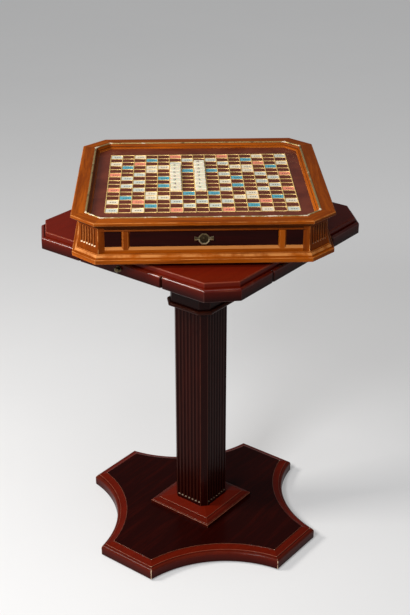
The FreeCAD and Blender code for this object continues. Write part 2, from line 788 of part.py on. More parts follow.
mitred_frame("plinth_moulding", [(wall_half + out, cabinet_low + rise) for out, rise in (
    (0, 0), (S["fascia_out"], 0), (S["fascia_out"], S["fascia_height"]), (S["cove_out"], S["cove_start"]),
    (S["cove_in"], S["cove_end"]), (S["bead_out"], S["bead_start"]), (S["bead_out"], S["bead_end"]),
    (0, S["bead_end"]))], cabinet_octagon)

opening_low = floor_top + S["bottom_rail"]
opening_high = frame_low - S["top_rail"]
post_start = wall_half - S["cabinet_cut"] - S["post_stile"]
small_start = post_start - S["small_width"]
drawer_half = small_start - S["stile_width"]
opening = rectangle(-drawer_half, drawer_half, opening_low, opening_high)
right_opening = rectangle(small_start, post_start, opening_low, opening_high)
left_opening = rectangle(-post_start, -small_start, opening_low, opening_high)
# The end rails of a wall are its top and bottom rails only; the small openings reach to the posts.
wall_outline = [
    (-post_start, floor_top), (post_start, floor_top), (post_start, opening_low),
    (small_start, opening_low), (small_start, opening_high), (post_start, opening_high),
    (post_start, frame_low), (-post_start, frame_low), (-post_start, opening_high),
    (-small_start, opening_high), (-small_start, opening_low), (-post_start, opening_low)]
panel_front = wall_half - S["panel_setback"]
for quarter, name in enumerate(("front", "right", "rear", "left")):
    keep(f"apron_{name}", board(f"apron_{name}", wall_outline, -wall_half, -wall_inner, "XZ_Plane",
                                holes=[opening]), 90.0 * quarter)


def wall_panel(outline, quarter):
    """A thin panel that fills one opening of a wall."""
    low_corner, high_corner = outline[0], outline[2]
    panel = Part.makeBox(high_corner[0] - low_corner[0], S["panel_thick"], high_corner[1] - low_corner[1],
                         V(low_corner[0], -panel_front, low_corner[1]))
    panel.rotate(V(0, 0, 0), UP, 90 * quarter)
    return panel


small_panels = [wall_panel(outline, quarter) for quarter in range(4)
                for outline in (left_opening, right_opening)]
long_panels = [wall_panel(opening, quarter) for quarter in (1, 2, 3)]
shaped("wall_panels", Part.makeCompound(small_panels + long_panels))

flare_low = cabinet_low + S["bead_end"]
flare_high = flare_low + S["flare_height"]
post_section = [
    (wall_inner, floor_top), (wall_half, floor_top), (wall_half, flare_low),
    (wall_half + S["flare"], flare_low), (wall_half + S["flare"] * 0.36, flare_low + S["flare_height"] * 0.4),
    (wall_half + S["flare"] * 0.07, flare_low + S["flare_height"] * 0.8), (wall_half, flare_high),
    (wall_half, frame_low), (wall_inner, frame_low)]
post = swept(post_section, corner_stations(cabinet_octagon, post_start))
post_cutters = []
cut_face = (wall_half - S["cabinet_cut"] / 2) * math.sqrt(2)
post_span = S["cabinet_cut"] * math.sqrt(2) - 2 * S["post_flute_edge"]
for index in range(int(S["post_flutes"])):
    across = post_span * (index / (S["post_flutes"] - 1) - 0.5)
    cutter = flute(S["post_flute_radius"], S["post_flute_depth"], cut_face, across,
                   floor_top + S["post_flute_foot"], frame_low - S["post_flute_head"])
    cutter.rotate(V(0, 0, 0), UP, -45)
    post_cutters.append(cutter)
shaped("corner_posts", four_round(post.cut(post_cutters)))

# ------------------------------------------------------------------ frame, trim and board
frame_half = wall_half + S["frame_out"]
round_in = frame_half - S["frame_round"]
opening_half = wall_half - S["frame_in"]
trim_out = opening_half + S["trim_width"]
trim_in = opening_half - S["trim_lap"]
trim_low = frame_top - S["trim_thick"]
undercut = frame_low + S["frame_undercut"]
mitred_frame("top_frame", [
    (opening_half, frame_low), (wall_half + S["frame_neck_out"], frame_low),
    (round_in, undercut - S["frame_quirk"]), (frame_half, undercut),
    (frame_half, frame_top - S["frame_round"]),
    (round_in, frame_top), (trim_out, frame_top), (trim_out, trim_low), (opening_half, trim_low),
], cabinet_octagon)
mitred_frame("opening_trim", [
    (trim_in, trim_low), (trim_out, trim_low), (trim_out, frame_top), (trim_in, frame_top),
], cabinet_octagon)
mitred_frame("opening_liner", [
    (opening_half - S["liner_width"], board_top), (opening_half, board_top),
    (opening_half, trim_low), (trim_in, trim_low),
], cabinet_octagon)

board_half = wall_inner - S["board_gap"]
keep("board_panel", board("board_panel", cabinet_octagon(board_half), board_low, board_top))

ledge_back = wall_inner - S["ledge_width"]
ledge_low = board_low - S["ledge_height"]
ledge_half = post_start - S["ledge_short"]
ledges = []
for low_x, high_x, low_y, high_y in (
        (-ledge_half, ledge_half, -wall_inner, -ledge_back),
        (-ledge_half, ledge_half, ledge_back, wall_inner),
        (-wall_inner, -ledge_back, -ledge_half, ledge_half),
        (ledge_back, wall_inner, -ledge_half, ledge_half)):
    ledges.append(box((low_x, low_y, ledge_low), (high_x, high_y, board_low)))
keep("board_ledges", joined("Compound", ledges))

cell_x = (S["grid_length"] - S["bar_width"]) / S["grid_cells"]
cell_y = (S["grid_depth"] - S["bar_width"]) / S["grid_cells"]
grid_x, grid_y = S["grid_length"] / 2, S["grid_depth"] / 2
bar_top = board_top + S["bar_height"]
bars = []
for index in range(int(S["grid_cells"]) + 1):
    x = cell_x * index - grid_x
    y = cell_y * index - grid_y
    bars.append(box((x, -grid_y, board_top), (x + S["bar_width"], grid_y, bar_top)))
    bars.append(box((-grid_x, y, board_top), (grid_x, y + S["bar_width"], bar_top)))
lattice = joined("MultiFuse", bars)
lattice.Refine = True
keep("board_grid", lattice)


def tile_word(label, column, first_row, last_row):
    """Upright word of loose tiles, one in each cell of a column, rows counted from the rear."""
    tiles = []
    inset = S["bar_width"] + S["tile_gap"]
    left = cell_x * (column - 1) - grid_x
    for row in range(first_row, last_row + 1):
        front = grid_y - cell_y * row - S["bar_width"]
        tiles.append(box((left + inset, front + inset, board_top),
                         (left + cell_x - S["tile_gap"], front + cell_y - S["tile_gap"],
                          board_top + S["tile_thick"])))
    keep(label, joined("Compound", tiles))


tile_word("tiles_left_word", 6, 4, 10)
tile_word("tiles_right_word", 8, 3, 10)

# ------------------------------------------------------------------ drawer
reveal = S["drawer_reveal"]
front_face = wall_half - S["front_setback"]
front_back = front_face - S["front_thick"]
box_low = opening_low + S["box_rise"]
box_high = opening_high - S["box_drop"]
box_half = drawer_half - S["box_inset"]
box_rear = S["box_depth"] - front_back
inner_half = box_half - S["box_wall"]
front_width = drawer_half - reveal
keep("drawer_front", board("drawer_front", rectangle(
    -front_width, front_width, opening_low + reveal, opening_high - reveal),
    -front_face, -front_back, "XZ_Plane"))
keep("drawer_sides", joined("Compound", [
    box((-box_half, -front_back, box_low), (-inner_half, box_rear, box_high)),
    box((inner_half, -front_back, box_low), (box_half, box_rear, box_high))]))
keep("drawer_back", joined("Compound", [
    box((-inner_half, box_rear - S["box_wall"], box_low), (inner_half, box_rear, box_high))]))
keep("drawer_bottom", joined("Compound", [
    box((-inner_half, -front_back, box_low),
        (inner_half, box_rear - S["box_wall"], box_low + S["box_floor"]))]))
divider_half = S["divider_thick"] / 2
third = inner_half / 3
keep("drawer_dividers", joined("Compound", [
    box((centre - divider_half, -front_back, box_low + S["box_floor"]),
        (centre + divider_half, box_rear - S["box_wall"], box_high)) for centre in (-third, third)]))

runner_top = box_low - S["gap"]
guide = box_half + S["gap"]
drawer_runners = []
for side in (-1, 1):
    profile = [(side * x, z) for x, z in (
        (inner_half - S["runner_foot"] + S["box_wall"], floor_top), (guide + S["runner_wall"], floor_top),
        (guide + S["runner_wall"], box_high), (guide, box_high), (guide, runner_top),
        (inner_half - S["runner_foot"] + S["box_wall"], runner_top))]
    if side < 0:
        profile = profile[::-1]
    drawer_runners.append(board("runner", profile, -wall_inner, wall_inner, "XZ_Plane"))
keep("drawer_runners", joined("Compound", drawer_runners))

# ------------------------------------------------------------------ drawer pull
# The pull fills the height of the drawer front, less a margin at its lower edge. The bail's pin
# stands out as far as its square bar needs to turn clear of the rim.
pull_height = (opening_low + opening_high) / 2 - S["pull_drop"]
pull_half = pull_height - opening_low - reveal - S["pull_margin"]
pull_cut = S["pull_corner"] * pull_half
pin_place = S["pull_plate"] + S["rim_rise"] + S["bail_bar"] * math.sqrt(0.5) + S["gap"]
ear_reach = pin_place + S["pin_radius"] + S["ear_wall"]


def pull_octagon(half, cut):
    """Octagon round the middle of the pull, on the drawer's face."""
    return [(x, pull_height + y) for x, y in cut_square(half, cut)]


pull_face = front_face + S["pull_plate"]
plate = new_body("pull_plate")
plate_sketch = sketch_on(plate, "XZ_Plane", -front_face)
add_loop(plate_sketch, pull_octagon(pull_half, pull_cut))
flat = plate.newObject("PartDesign::Pad", "flat")
flat.Profile = plate_sketch
bind(flat, "Length", S["pull_plate"])
plate.Tip = flat
strap_sketch = sketch_on(plate, "XZ_Plane", -front_face)
add_loop(strap_sketch, rectangle(-S["ear_out"], S["ear_out"], pull_height - S["ear_half"] / 2,
                                 pull_height + S["ear_half"] / 2))
strap = plate.newObject("PartDesign::Pad", "strap")
strap.Profile = strap_sketch
bind(strap, "Length", S["pull_plate"])
plate.Tip = strap
for kind, loops, reach in (
        ("rim", [pull_octagon(pull_half, pull_cut),
                 pull_octagon(pull_half - S["rim_bar"], pull_cut - S["cut_growth"] * S["rim_bar"])],
         S["rim_rise"]),
        ("ears", [rectangle(side[0], side[1], pull_height - S["ear_half"], pull_height + S["ear_half"])
                  for side in ((-S["ear_out"], -S["ear_in"]), (S["ear_in"], S["ear_out"]))],
         ear_reach - S["pull_plate"])):
    raised = sketch_on(plate, "XZ_Plane", -pull_face)
    for loop in loops:
        add_loop(raised, loop)
    feature = plate.newObject("PartDesign::Pad", kind)
    feature.Profile = raised
    bind(feature, "Length", reach)
    plate.Tip = feature
boss_sketch = sketch_on(plate, "XZ_Plane", -pull_face)
add_circle(boss_sketch, (0, pull_height), S["boss_share"] * pull_half)
boss = plate.newObject("PartDesign::Pad", "boss")
boss.Profile = boss_sketch
bind(boss, "Length", S["boss_rise"])
plate.Tip = boss
pin_y = front_face + pin_place
bore_sketch = sketch_on(plate, "YZ_Plane", S["pin_reach"] + S["fit_gap"])
add_circle(bore_sketch, (-pin_y, pull_height), S["pin_radius"] + S["fit_gap"])
pocket(plate, bore_sketch, 2 * (S["pin_reach"] + S["fit_gap"]))
keep("pull_plate", plate)

bail_inner = pull_half - S["bail_bar"]
inner_cut = pull_cut - S["cut_growth"] * S["bail_bar"]
bail_top = pull_height + S["bail_bar"] / 2
bail_outline = [
    (-pull_half, bail_top), (-pull_half, pull_height - pull_half + pull_cut),
    (-pull_half + pull_cut, pull_height - pull_half), (pull_half - pull_cut, pull_height - pull_half),
    (pull_half, pull_height - pull_half + pull_cut), (pull_half, bail_top),
    (bail_inner, bail_top), (bail_inner, pull_height - bail_inner + inner_cut),
    (bail_inner - inner_cut, pull_height - bail_inner), (-bail_inner + inner_cut, pull_height - bail_inner),
    (-bail_inner, pull_height - bail_inner + inner_cut), (-bail_inner, bail_top)]
bail = board("pull_bail", bail_outline, -pin_y - S["bail_bar"] / 2, -pin_y + S["bail_bar"] / 2, "XZ_Plane")
for start in (-S["pin_reach"], bail_inner):
    pin_sketch = sketch_on(bail, "YZ_Plane", start)
    add_circle(pin_sketch, (-pin_y, pull_height), S["pin_radius"])
    pad(bail, pin_sketch, S["pin_reach"] - bail_inner, "YZ_Plane")
keep("pull_bail", bail)

# ------------------------------------------------------------------ checks and files
doc.recompute()
for thing in doc.Objects:
    if "Invalid" in thing.State or "Error" in thing.State:
        raise RuntimeError(f"{thing.Name} ({thing.Label}) failed: {thing.State}")
for feature, before in cuts:
    if feature.Shape.Volume > before.Shape.Volume - 1e-3:
        raise RuntimeError(f"{feature.Name} of {feature.getParentGeoFeatureGroup().Label} cuts nothing")
os.makedirs("parts", exist_ok=True)
for label, thing in nodes.items():
    if thing.Shape.isNull() or not thing.Shape.isValid() or not thing.Shape.Solids:
        raise RuntimeError(f"{label} has no valid solid")
for label, thing in nodes.items():
    thing.Shape.exportStep(f"parts/{label}.step")
print(len(nodes), "nodes written")
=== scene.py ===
import math
from functools import partial

import bpy
import numpy as np
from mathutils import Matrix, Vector


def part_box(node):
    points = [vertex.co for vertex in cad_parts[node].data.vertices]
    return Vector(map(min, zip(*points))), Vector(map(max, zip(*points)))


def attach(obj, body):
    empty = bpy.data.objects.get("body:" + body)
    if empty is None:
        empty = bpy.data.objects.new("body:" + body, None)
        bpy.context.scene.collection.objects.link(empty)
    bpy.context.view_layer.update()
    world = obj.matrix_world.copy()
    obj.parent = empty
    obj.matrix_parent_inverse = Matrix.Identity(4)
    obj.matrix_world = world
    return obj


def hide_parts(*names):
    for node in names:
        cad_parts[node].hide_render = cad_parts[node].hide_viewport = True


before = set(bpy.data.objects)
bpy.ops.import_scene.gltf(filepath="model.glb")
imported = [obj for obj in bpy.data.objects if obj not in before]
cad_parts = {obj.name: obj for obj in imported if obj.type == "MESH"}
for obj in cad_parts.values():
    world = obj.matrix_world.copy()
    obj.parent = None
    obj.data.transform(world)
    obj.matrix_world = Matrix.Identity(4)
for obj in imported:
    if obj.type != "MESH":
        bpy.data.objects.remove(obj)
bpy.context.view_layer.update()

# ------------------------------------------------------------------ studio
# A pale painted floor that runs far past the table, two soft lamps of like strength, one from the
# left and one from the front, a weak one above and an even pale sky. The viewpoint is that of a
# person standing before the table.
mm = 0.001


def add_node(tree, kind, sockets=None, **settings):
    """A shader node. Each socket takes a plain value, or another node's output to link from."""
    node = tree.nodes.new("ShaderNode" + kind)
    for name, value in settings.items():
        setattr(node, name, value)
    for name, value in (sockets or {}).items():
        if isinstance(value, bpy.types.NodeSocket):
            tree.links.new(value, node.inputs[name])
        else:
            node.inputs[name].default_value = value
    return node


def tree_of(*values):
    """The node tree that the sockets among the values belong to."""
    return next(value.id_data for value in values if isinstance(value, bpy.types.NodeSocket))


def calc(operation, first, second=0.0, clamp=False):
    """Output of a Math node."""
    return add_node(tree_of(first, second), "Math", {0: first, 1: second}, operation=operation,
                    use_clamp=clamp).outputs[0]


times, plus, minus = (partial(calc, operation) for operation in ("MULTIPLY", "ADD", "SUBTRACT"))


def mixed(share, first, second):
    """Colour that goes from first to second as share goes from 0 to 1."""
    return add_node(tree_of(share, first, second), "Mix", {0: share, 6: first, 7: second},
                    data_type="RGBA").outputs[2]


def eased_step(value, low, high, start=0.0, end=1.0):
    """Goes smoothly from start to end as value goes from low to high."""
    return add_node(tree_of(value), "MapRange", {0: value, 1: low, 2: high, 3: start, 4: end},
                    interpolation_type="SMOOTHSTEP").outputs[0]


def noise(place, scale, detail=2.0, roughness=0.5):
    """Fractal noise from 0 to 1."""
    return add_node(tree_of(place), "TexNoise", {"Vector": place, "Scale": scale, "Detail": detail,
                                                 "Roughness": roughness}).outputs["Fac"]


def stretched(place, factors):
    """A place multiplied axis by axis."""
    return add_node(tree_of(place), "VectorMath", {0: place, 1: factors}, operation="MULTIPLY").outputs[0]


def new_material(name, **sockets):
    """A material of one Principled shader; returns it with its tree and its shader."""
    material = bpy.data.materials.new(name)
    material.use_nodes = True
    tree = material.node_tree
    shader = tree.nodes["Principled BSDF"]
    for label, value in sockets.items():
        shader.inputs[label.replace("_", " ")].default_value = value
    return material, tree, shader


def own_place(tree):
    """The piece's own coordinates, in metres."""
    return add_node(tree, "TexCoord").outputs["Object"]


def feed(node, **values):
    """Links outputs to the sockets of a shader or of a group's output."""
    for label, value in values.items():
        node.id_data.links.new(value, node.inputs[label.replace("_", " ")])


def new_object(name, data):
    """An object that shows the data, linked into the scene."""
    shown = bpy.data.objects.new(name, data)
    bpy.context.scene.collection.objects.link(shown)
    return shown


floor_material, tree, shader = new_material("studio_floor", Roughness=0.9, Specular_IOR_Level=0.1,
                                            Emission_Color=(1, 1, 1, 1))
smudge = noise(own_place(tree), 1.3, 5, 0.6)
ray = add_node(tree, "LightPath").outputs
mirrored = calc("MAXIMUM", ray["Is Glossy Ray"], ray["Is Transmission Ray"])
seen = calc("MAXIMUM", ray["Is Camera Ray"], mirrored)
feed(shader, Base_Color=mixed(smudge, (0.50, 0.50, 0.505, 1), (0.56, 0.56, 0.56, 1)),
     Emission_Strength=times(seen, 0.30))
floor_reach = 50.0
floor_turn = np.linspace(0, 2 * np.pi, 96, endpoint=False)
floor_ring = np.stack([np.cos(floor_turn), np.sin(floor_turn), 0 * floor_turn], 1) * floor_reach
floor_mesh = bpy.data.meshes.new("floor")
floor_mesh.from_pydata(floor_ring.tolist(), [], [list(range(len(floor_ring)))])
floor_mesh.materials.append(floor_material)
floor = new_object("floor", floor_mesh)

sky = bpy.data.worlds.new("studio_sky")
sky.use_nodes = True
bpy.context.scene.world = sky
background = sky.node_tree.nodes["Background"]
background.inputs["Color"].default_value = (0.80, 0.81, 0.83, 1)
background.inputs["Strength"].default_value = 0.20


def soft_lamp(name, place, aim, wide, high, power, colour=(1, 1, 1)):
    """A flat soft lamp at place, turned towards aim."""
    lamp = bpy.data.lights.new(name, "AREA")
    lamp.shape, lamp.size, lamp.size_y = "RECTANGLE", wide, high
    lamp.energy, lamp.color = power, colour
    holder = new_object(name, lamp)
    holder.location = place
    holder.rotation_euler = (Vector(aim) - Vector(place)).to_track_quat("-Z", "Y").to_euler()


soft_lamp("key_lamp", (-1.78, -0.30, 1.80), (0, -0.1, 0.66), 0.6, 0.6, 40, (1, 0.97, 0.93))
soft_lamp("main_lamp", (-0.95, -1.8, 2.0), (0, 0, 0.62), 0.7, 0.5, 42)
soft_lamp("top_lamp", (0.0, -0.6, 2.8), (0, 0, 0.6), 0.9, 0.7, 6)

lens = bpy.data.cameras.new("viewpoint")
lens.lens = 69.45
lens.sensor_width = 36
lens.clip_start, lens.clip_end = 0.05, 60
viewpoint = new_object("viewpoint", lens)
viewpoint.location = (-0.05876, -2.10301, 1.51169)
viewpoint.rotation_euler = (math.radians(90 - 25.96), 0, math.radians(-1.83))
bpy.context.scene.camera = viewpoint
bpy.context.scene.view_settings.view_transform = "Standard"


# ------------------------------------------------------------------ base board
# One thick board with four straight-ended feet and hollow curves between them. Its edge is
# rounded over, and a raised field with a coved border is worked on top. Mahogany, stained dark
# red and lacquered to a gloss; the arrises are rubbed and the foot corners chipped to pale wood.
# Its sloped border and shoulder are painted paler as painted light, and its field, hub and sides
# darker as painted shade under the table.
def unit(vectors):
    """Vectors scaled to length 1."""
    return vectors / np.linalg.norm(vectors, axis=-1, keepdims=True)


def turned_between(first, second, shares):
    """Unit vectors on the way from first to second, turning evenly: the weights of the two are
    sin((1 - t) angle) and sin(t angle), over sin(angle)."""
    angle = np.arccos(np.clip((first * second).sum(-1), -1, 1))[..., None]
    start = np.sin((1 - shares) * angle) / np.sin(angle)
    end = np.sin(shares * angle) / np.sin(angle)
    return start[..., None] * first[..., None, :] + end[..., None] * second[..., None, :]


def eased(corners, eases, steps=4, wear=1.0):
    """A section line with its corners eased, each by a radius in millimetres.

    A corner between unit vectors a and b to its neighbours becomes an arc of radius r. The arc's
    centre lies on the bisector, r / sin(half angle) away, and its ends r / tan(half angle) along a
    and b. Returns the points, and for each its corner's wear inside a convex arc, the same
    below zero inside a hollow one, and else 0."""
    corner = np.asarray(corners, float)
    radius = np.broadcast_to(eases, len(corner)).astype(float)[:, None] * mm
    back = unit(np.roll(corner, 1, axis=0) - corner)
    ahead = unit(np.roll(corner, -1, axis=0) - corner)
    half = (np.arccos(np.clip((back * ahead).sum(1), -1, 1))[:, None] / 2).clip(1e-6, np.pi / 2 - 1e-6)
    middle = corner + unit(back + ahead) * radius / np.sin(half)
    start = corner + back * radius / np.tan(half) - middle
    end = corner + ahead * radius / np.tan(half) - middle
    swing = np.pi - 2 * half
    share = np.linspace(0, 1, steps + 1)
    arc = (middle[:, None] + (np.sin((1 - share) * swing) / np.sin(swing))[..., None] * start[:, None]
           + (np.sin(share * swing) / np.sin(swing))[..., None] * end[:, None])
    bend = (np.sign(ahead[:, 0] * back[:, 1] - ahead[:, 1] * back[:, 0]) * wear)[:, None]
    edge = bend * ((share > 0) & (share < 1))
    points = arc.reshape(-1, 2)
    apart = np.linalg.norm(points - np.roll(points, 1, axis=0), axis=1) > 1e-7
    return points[apart], edge.ravel()[apart]


def facing_out(section):
    """How far each point of a section (out, up) faces outwards: the rise of the line through it."""
    run = unit(np.roll(section, -1, axis=0) - section)
    return np.clip((run[:, 1] + np.roll(run, 1, axis=0)[:, 1]) / 2, 0, 1)


def run_length(section):
    """Length along a section line up to each of its points."""
    return np.r_[0, np.cumsum(np.linalg.norm(np.diff(section, axis=0), axis=1))]


def about_column(points, angle):
    """Points turned about the column's axis."""
    cosine, sine = math.cos(angle), math.sin(angle)
    x, y, z = np.moveaxis(np.asarray(points, float), -1, 0)
    return np.stack([x * cosine - y * sine, x * sine + y * cosine, z], -1)


def coords(*parts):
    """Coordinates side by side, each spread over the shape they share."""
    return np.stack(np.broadcast_arrays(*parts), -1)


def raised(flat, height):
    """Flat points with their heights as the third coordinate."""
    return coords(flat[..., 0], flat[..., 1], height)


def flat_grain(points):
    """Grain along X, and across it the way over a level face and up an edge."""
    return np.stack([points[..., 0], points[..., 1] + points[..., 2]], -1)


def shell(points, grain, arris=0.0, corner=0.0, hollow=0.0, board=0.0, painted_glint=0.0, ring=False):
    """One closed skin: rings of points, joined in order and capped, or joined into a ring.

    grain is where each point lies on its board, along and across the grain, in metres. arris,
    corner and hollow mark rounded edges, their ends and inner angles for the finish; on wood the
    hollow mark is also painted shade. board is the tone of the stain from board to board, about 0
    to 1, and beyond that where a face is painted darker or paler as painted light and shade. The
    last mark is painted glints, drawn as bare wood."""
    shape = points.shape[:2]
    marks = [np.broadcast_to(mark, shape).astype(float) for mark in (arris, corner, hollow, board, painted_glint)]
    first, second = points[:-1], points[1:]
    if ring:
        first, second = points, np.roll(points, -1, axis=0)
    a, b = first, np.roll(first, -1, axis=1)
    c, d = np.roll(second, -1, axis=1), second
    volume = (np.cross(a, b) * c + np.cross(a, c) * d).sum()
    if not ring:
        for cap, side in ((points[0], -1), (points[-1], 1)):
            volume += side * (np.cross(cap[1:-1], cap[2:]) * cap[0]).sum()
    if volume < 0:
        points, grain = points[::-1], grain[::-1]
        marks = [mark[::-1] for mark in marks]
    return points, grain, marks, ring


def join_shells(name, shells):
    """A mesh of several closed skins, with the map grain and the marks of the finish."""
    faces, start = [], 0
    for points, _, _, ring in shells:
        count, around = points.shape[:2]
        index = start + np.arange(count * around).reshape(count, around)
        near, far = index[:-1], index[1:]
        if ring:
            near, far = index, np.roll(index, -1, axis=0)
        quads = np.stack([near, np.roll(near, -1, axis=1), np.roll(far, -1, axis=1), far], -1)
        faces += quads.reshape(-1, 4).tolist()
        if not ring:
            faces += [index[0, ::-1].tolist(), index[-1].tolist()]
        start += count * around
    mesh = bpy.data.meshes.new(name)
    mesh.from_pydata(np.concatenate([s[0].reshape(-1, 3) for s in shells]).tolist(), [], faces)
    for place, label in enumerate(("arris", "corner", "hollow", "board", "painted_glint")):
        values = np.concatenate([s[2][place].ravel() for s in shells]).astype(np.float32)
        mesh.attributes.new(label, "FLOAT", "POINT").data.foreach_set("value", values)
    owner = np.zeros(len(mesh.loops), np.int32)
    mesh.loops.foreach_get("vertex_index", owner)
    grain = np.concatenate([s[1].reshape(-1, 2) for s in shells])[owner]
    mesh.uv_layers.new(name="grain").data.foreach_set("uv", grain.astype(np.float32).ravel())
    mesh.polygons.foreach_set("use_smooth", [True] * len(mesh.polygons))
    mesh.set_sharp_from_angle(angle=math.radians(38))
    return mesh


def make_piece(name, shells, material, body, finish, *nodes):
    """A finished piece: its skins, its material, the body it rides on and the node it stands for."""
    mesh = join_shells(name, shells)
    mesh.materials.append(material)
    piece = new_object(name, mesh)
    piece.modifiers.new("flat_faces", "WEIGHTED_NORMAL").keep_sharp = True
    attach(piece, body)
    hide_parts(*nodes)
    return piece


def new_group(name, inputs, outputs):
    """A shader node group with named sockets; returns it with its inner inputs and its output node."""
    group = bpy.data.node_groups.new(name, "ShaderNodeTree")
    for label, kind, value in inputs:
        socket = group.interface.new_socket(name=label, in_out="INPUT", socket_type="NodeSocket" + kind)
        if value is not None:
            socket.default_value = value
    for label, kind in outputs:
        group.interface.new_socket(name=label, in_out="OUTPUT", socket_type="NodeSocket" + kind)
    return group, group.nodes.new("NodeGroupInput").outputs, group.nodes.new("NodeGroupOutput")


def placed(tree, group, **sockets):
    """Outputs of a node group in a material, with its own values."""
    return add_node(tree, "Group", sockets, node_tree=group).outputs


def shifted(place, step):
    """A place moved by a step."""
    return add_node(tree_of(place), "VectorMath", {0: place, 1: step}, operation="ADD").outputs[0]


def bumped(height, strength, distance, invert=False):
    """The surface's normal, tilted by the slope of a height."""
    return add_node(tree_of(height), "Bump", {"Height": height, "Strength": strength, "Distance": distance},
                    invert=invert).outputs[0]


# Figure of sawn wood. Along is the grain's direction: slow bands, fine streaks and dark pores, all
# drawn out along it, with a tone of its own for each board.
wood_figure, given, made = new_group("wood_figure", [
    ("Grain", "Vector", None), ("Pale", "Color", (0.5, 0.3, 0.1, 1)), ("Deep", "Color", (0.2, 0.1, 0.03, 1)),
    ("Board", "Float", 0.0), ("Figure", "Float", 1.0),
], [("Color", "Color"), ("Height", "Float")])
apart = add_node(wood_figure, "CombineXYZ", {
    axis: times(given["Board"], step) for axis, step in enumerate((3.7, 1.9, 5.3))}).outputs[0]
sawn = shifted(given["Grain"], apart)
wander = noise(stretched(sawn, (3, 9, 9)), 1.0, 2)
sawn = shifted(sawn, add_node(wood_figure, "CombineXYZ", {1: times(wander, 0.03)}).outputs[0])
bands = noise(stretched(sawn, (4, 75, 75)), 1.0, 4, 0.6)
streaks = noise(stretched(sawn, (22, 620, 620)), 1.0, 3, 0.6)
pore = noise(stretched(sawn, (130, 2600, 2600)), 1.0, 1)
share = eased_step(plus(times(bands, 0.65), times(streaks, 0.35)), 0.36, 0.64)
share = times(minus(share, 0.5), given["Figure"])
tone = times(minus(given["Board"], 0.5), 0.3)
share = plus(plus(share, tone), 0.5, clamp=True)
pits = eased_step(pore, 0.60, 0.68, 0.0, 0.5)
toned = mixed(share, given["Deep"], given["Pale"])
feed(made, Color=mixed(times(pits, 0.6), toned, (0.02, 0.006, 0.002, 1)), Height=minus(streaks, pits))

# Wear of a finish: arrises rubbed in patches, and chips where an arris meets a corner.
edge_wear, given, made = new_group("edge_wear", [
    ("Place", "Vector", None), ("Arris", "Float", 0.0), ("Corner", "Float", 0.0), ("Rub", "Float", 0.5),
    ("Chip", "Float", 0.5),
], [("Rubbed", "Float"), ("Chipped", "Float")])
patches = noise(given["Place"], 26.0, 4, 0.65)
nicks = noise(given["Place"], 210.0, 3, 0.6)
rubbing = plus(plus(patches, minus(given["Rub"], 1.0)), times(given["Corner"], 0.25))
chipping = plus(plus(times(nicks, 0.5), times(patches, 0.5)), times(given["Corner"], 0.3))
chipping = plus(chipping, minus(given["Chip"], 1.0))
feed(made, Rubbed=times(given["Arris"], eased_step(rubbing, -0.12, 0.12)),
     Chipped=times(given["Arris"], eased_step(chipping, 0.10, 0.16)))

# Handling of a lacquered face: faint smears that dull it and hair-fine bumps in the film.
handled, given, made = new_group("handled_lacquer", [
    ("Place", "Vector", None), ("Gloss", "Float", 0.2),
], [("Roughness", "Float"), ("Height", "Float")])
smears = noise(stretched(given["Place"], (9, 14, 9)), 1.0, 5, 0.7)
feed(made, Roughness=plus(given["Gloss"], times(smears, 0.12)), Height=noise(given["Place"], 95.0, 2))


def marked(tree, label):
    """A mark of the finish, as the mesh holds it."""
    return add_node(tree, "Attribute", attribute_name=label).outputs["Fac"]


def wooden(name, pale, deep, rubbed, bare, gloss, coat, rub, chip, figure=1.0, grain=None, bump=0.12,
           shine=0.3, polish=0.0, film_blur=0.05):
    """Lacquered wood that shows its grain, with rubbed arrises and chips, its hollows painted darker as
    painted shade.

    grain is the grain's direction as a turn of the piece's own axes, or None where the map grain
    of the mesh gives it. polish adds film on the arrises and film_blur dulls the film's shine."""
    material, tree, shader = new_material(name, Coat_Roughness=film_blur, Specular_IOR_Level=shine)
    place = own_place(tree)
    if grain is None:
        sawn = add_node(tree, "UVMap", uv_map="grain").outputs[0]
    else:
        sawn = add_node(tree, "Mapping", {"Vector": place, "Rotation": grain},
                        vector_type="TEXTURE").outputs[0]
    figured = placed(tree, wood_figure, Grain=sawn, Pale=pale, Deep=deep, Board=marked(tree, "board"),
                     Figure=figure)
    arris = marked(tree, "arris")
    worn = placed(tree, edge_wear, Place=place, Arris=arris, Corner=marked(tree, "corner"), Rub=rub,
                  Chip=chip)
    skin = placed(tree, handled, Place=place, Gloss=gloss)
    # A painted glint mark is drawn like a chip: pale bare wood without its film.
    broken = calc("MAXIMUM", worn["Chipped"], marked(tree, "painted_glint"))
    # Painted shade: the hollow mark darkens the colour in hollows, grooves and undercuts, and at the mitres
    # it is the joints' dark line.
    colour = mixed(times(marked(tree, "hollow"), 0.75), figured["Color"], (0.012, 0.004, 0.002, 1))
    colour = mixed(times(worn["Rubbed"], 0.85), colour, rubbed)
    film = plus(coat, times(arris, polish))
    relief = plus(times(figured["Height"], 0.5), times(skin["Height"], 0.5))
    relief = minus(relief, times(worn["Chipped"], 1.5))
    feed(shader, Base_Color=mixed(broken, colour, bare),
         Roughness=plus(skin["Roughness"], times(broken, 0.4), clamp=True),
         Coat_Weight=times(minus(1.0, broken), film, clamp=True),
         Normal=bumped(relief, bump, 0.0006))
    return material


mahogany_look = dict(pale=(0.122, 0.0075, 0.0020, 1), deep=(0.014, 0.0009, 0.0005, 1),
                     rubbed=(0.26, 0.075, 0.040, 1), bare=(0.80, 0.60, 0.40, 1), gloss=0.26, coat=0.10,
                     figure=0.22, bump=0.015, shine=0.03, film_blur=0.18)
mahogany = wooden("mahogany_gloss", rub=0.66, chip=0.36, polish=0.06, **mahogany_look)

pedestal_turn = math.radians(50.5)


def heights(node):
    """The heights at which a node of the frame starts and ends."""
    return [corner.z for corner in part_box(node)]


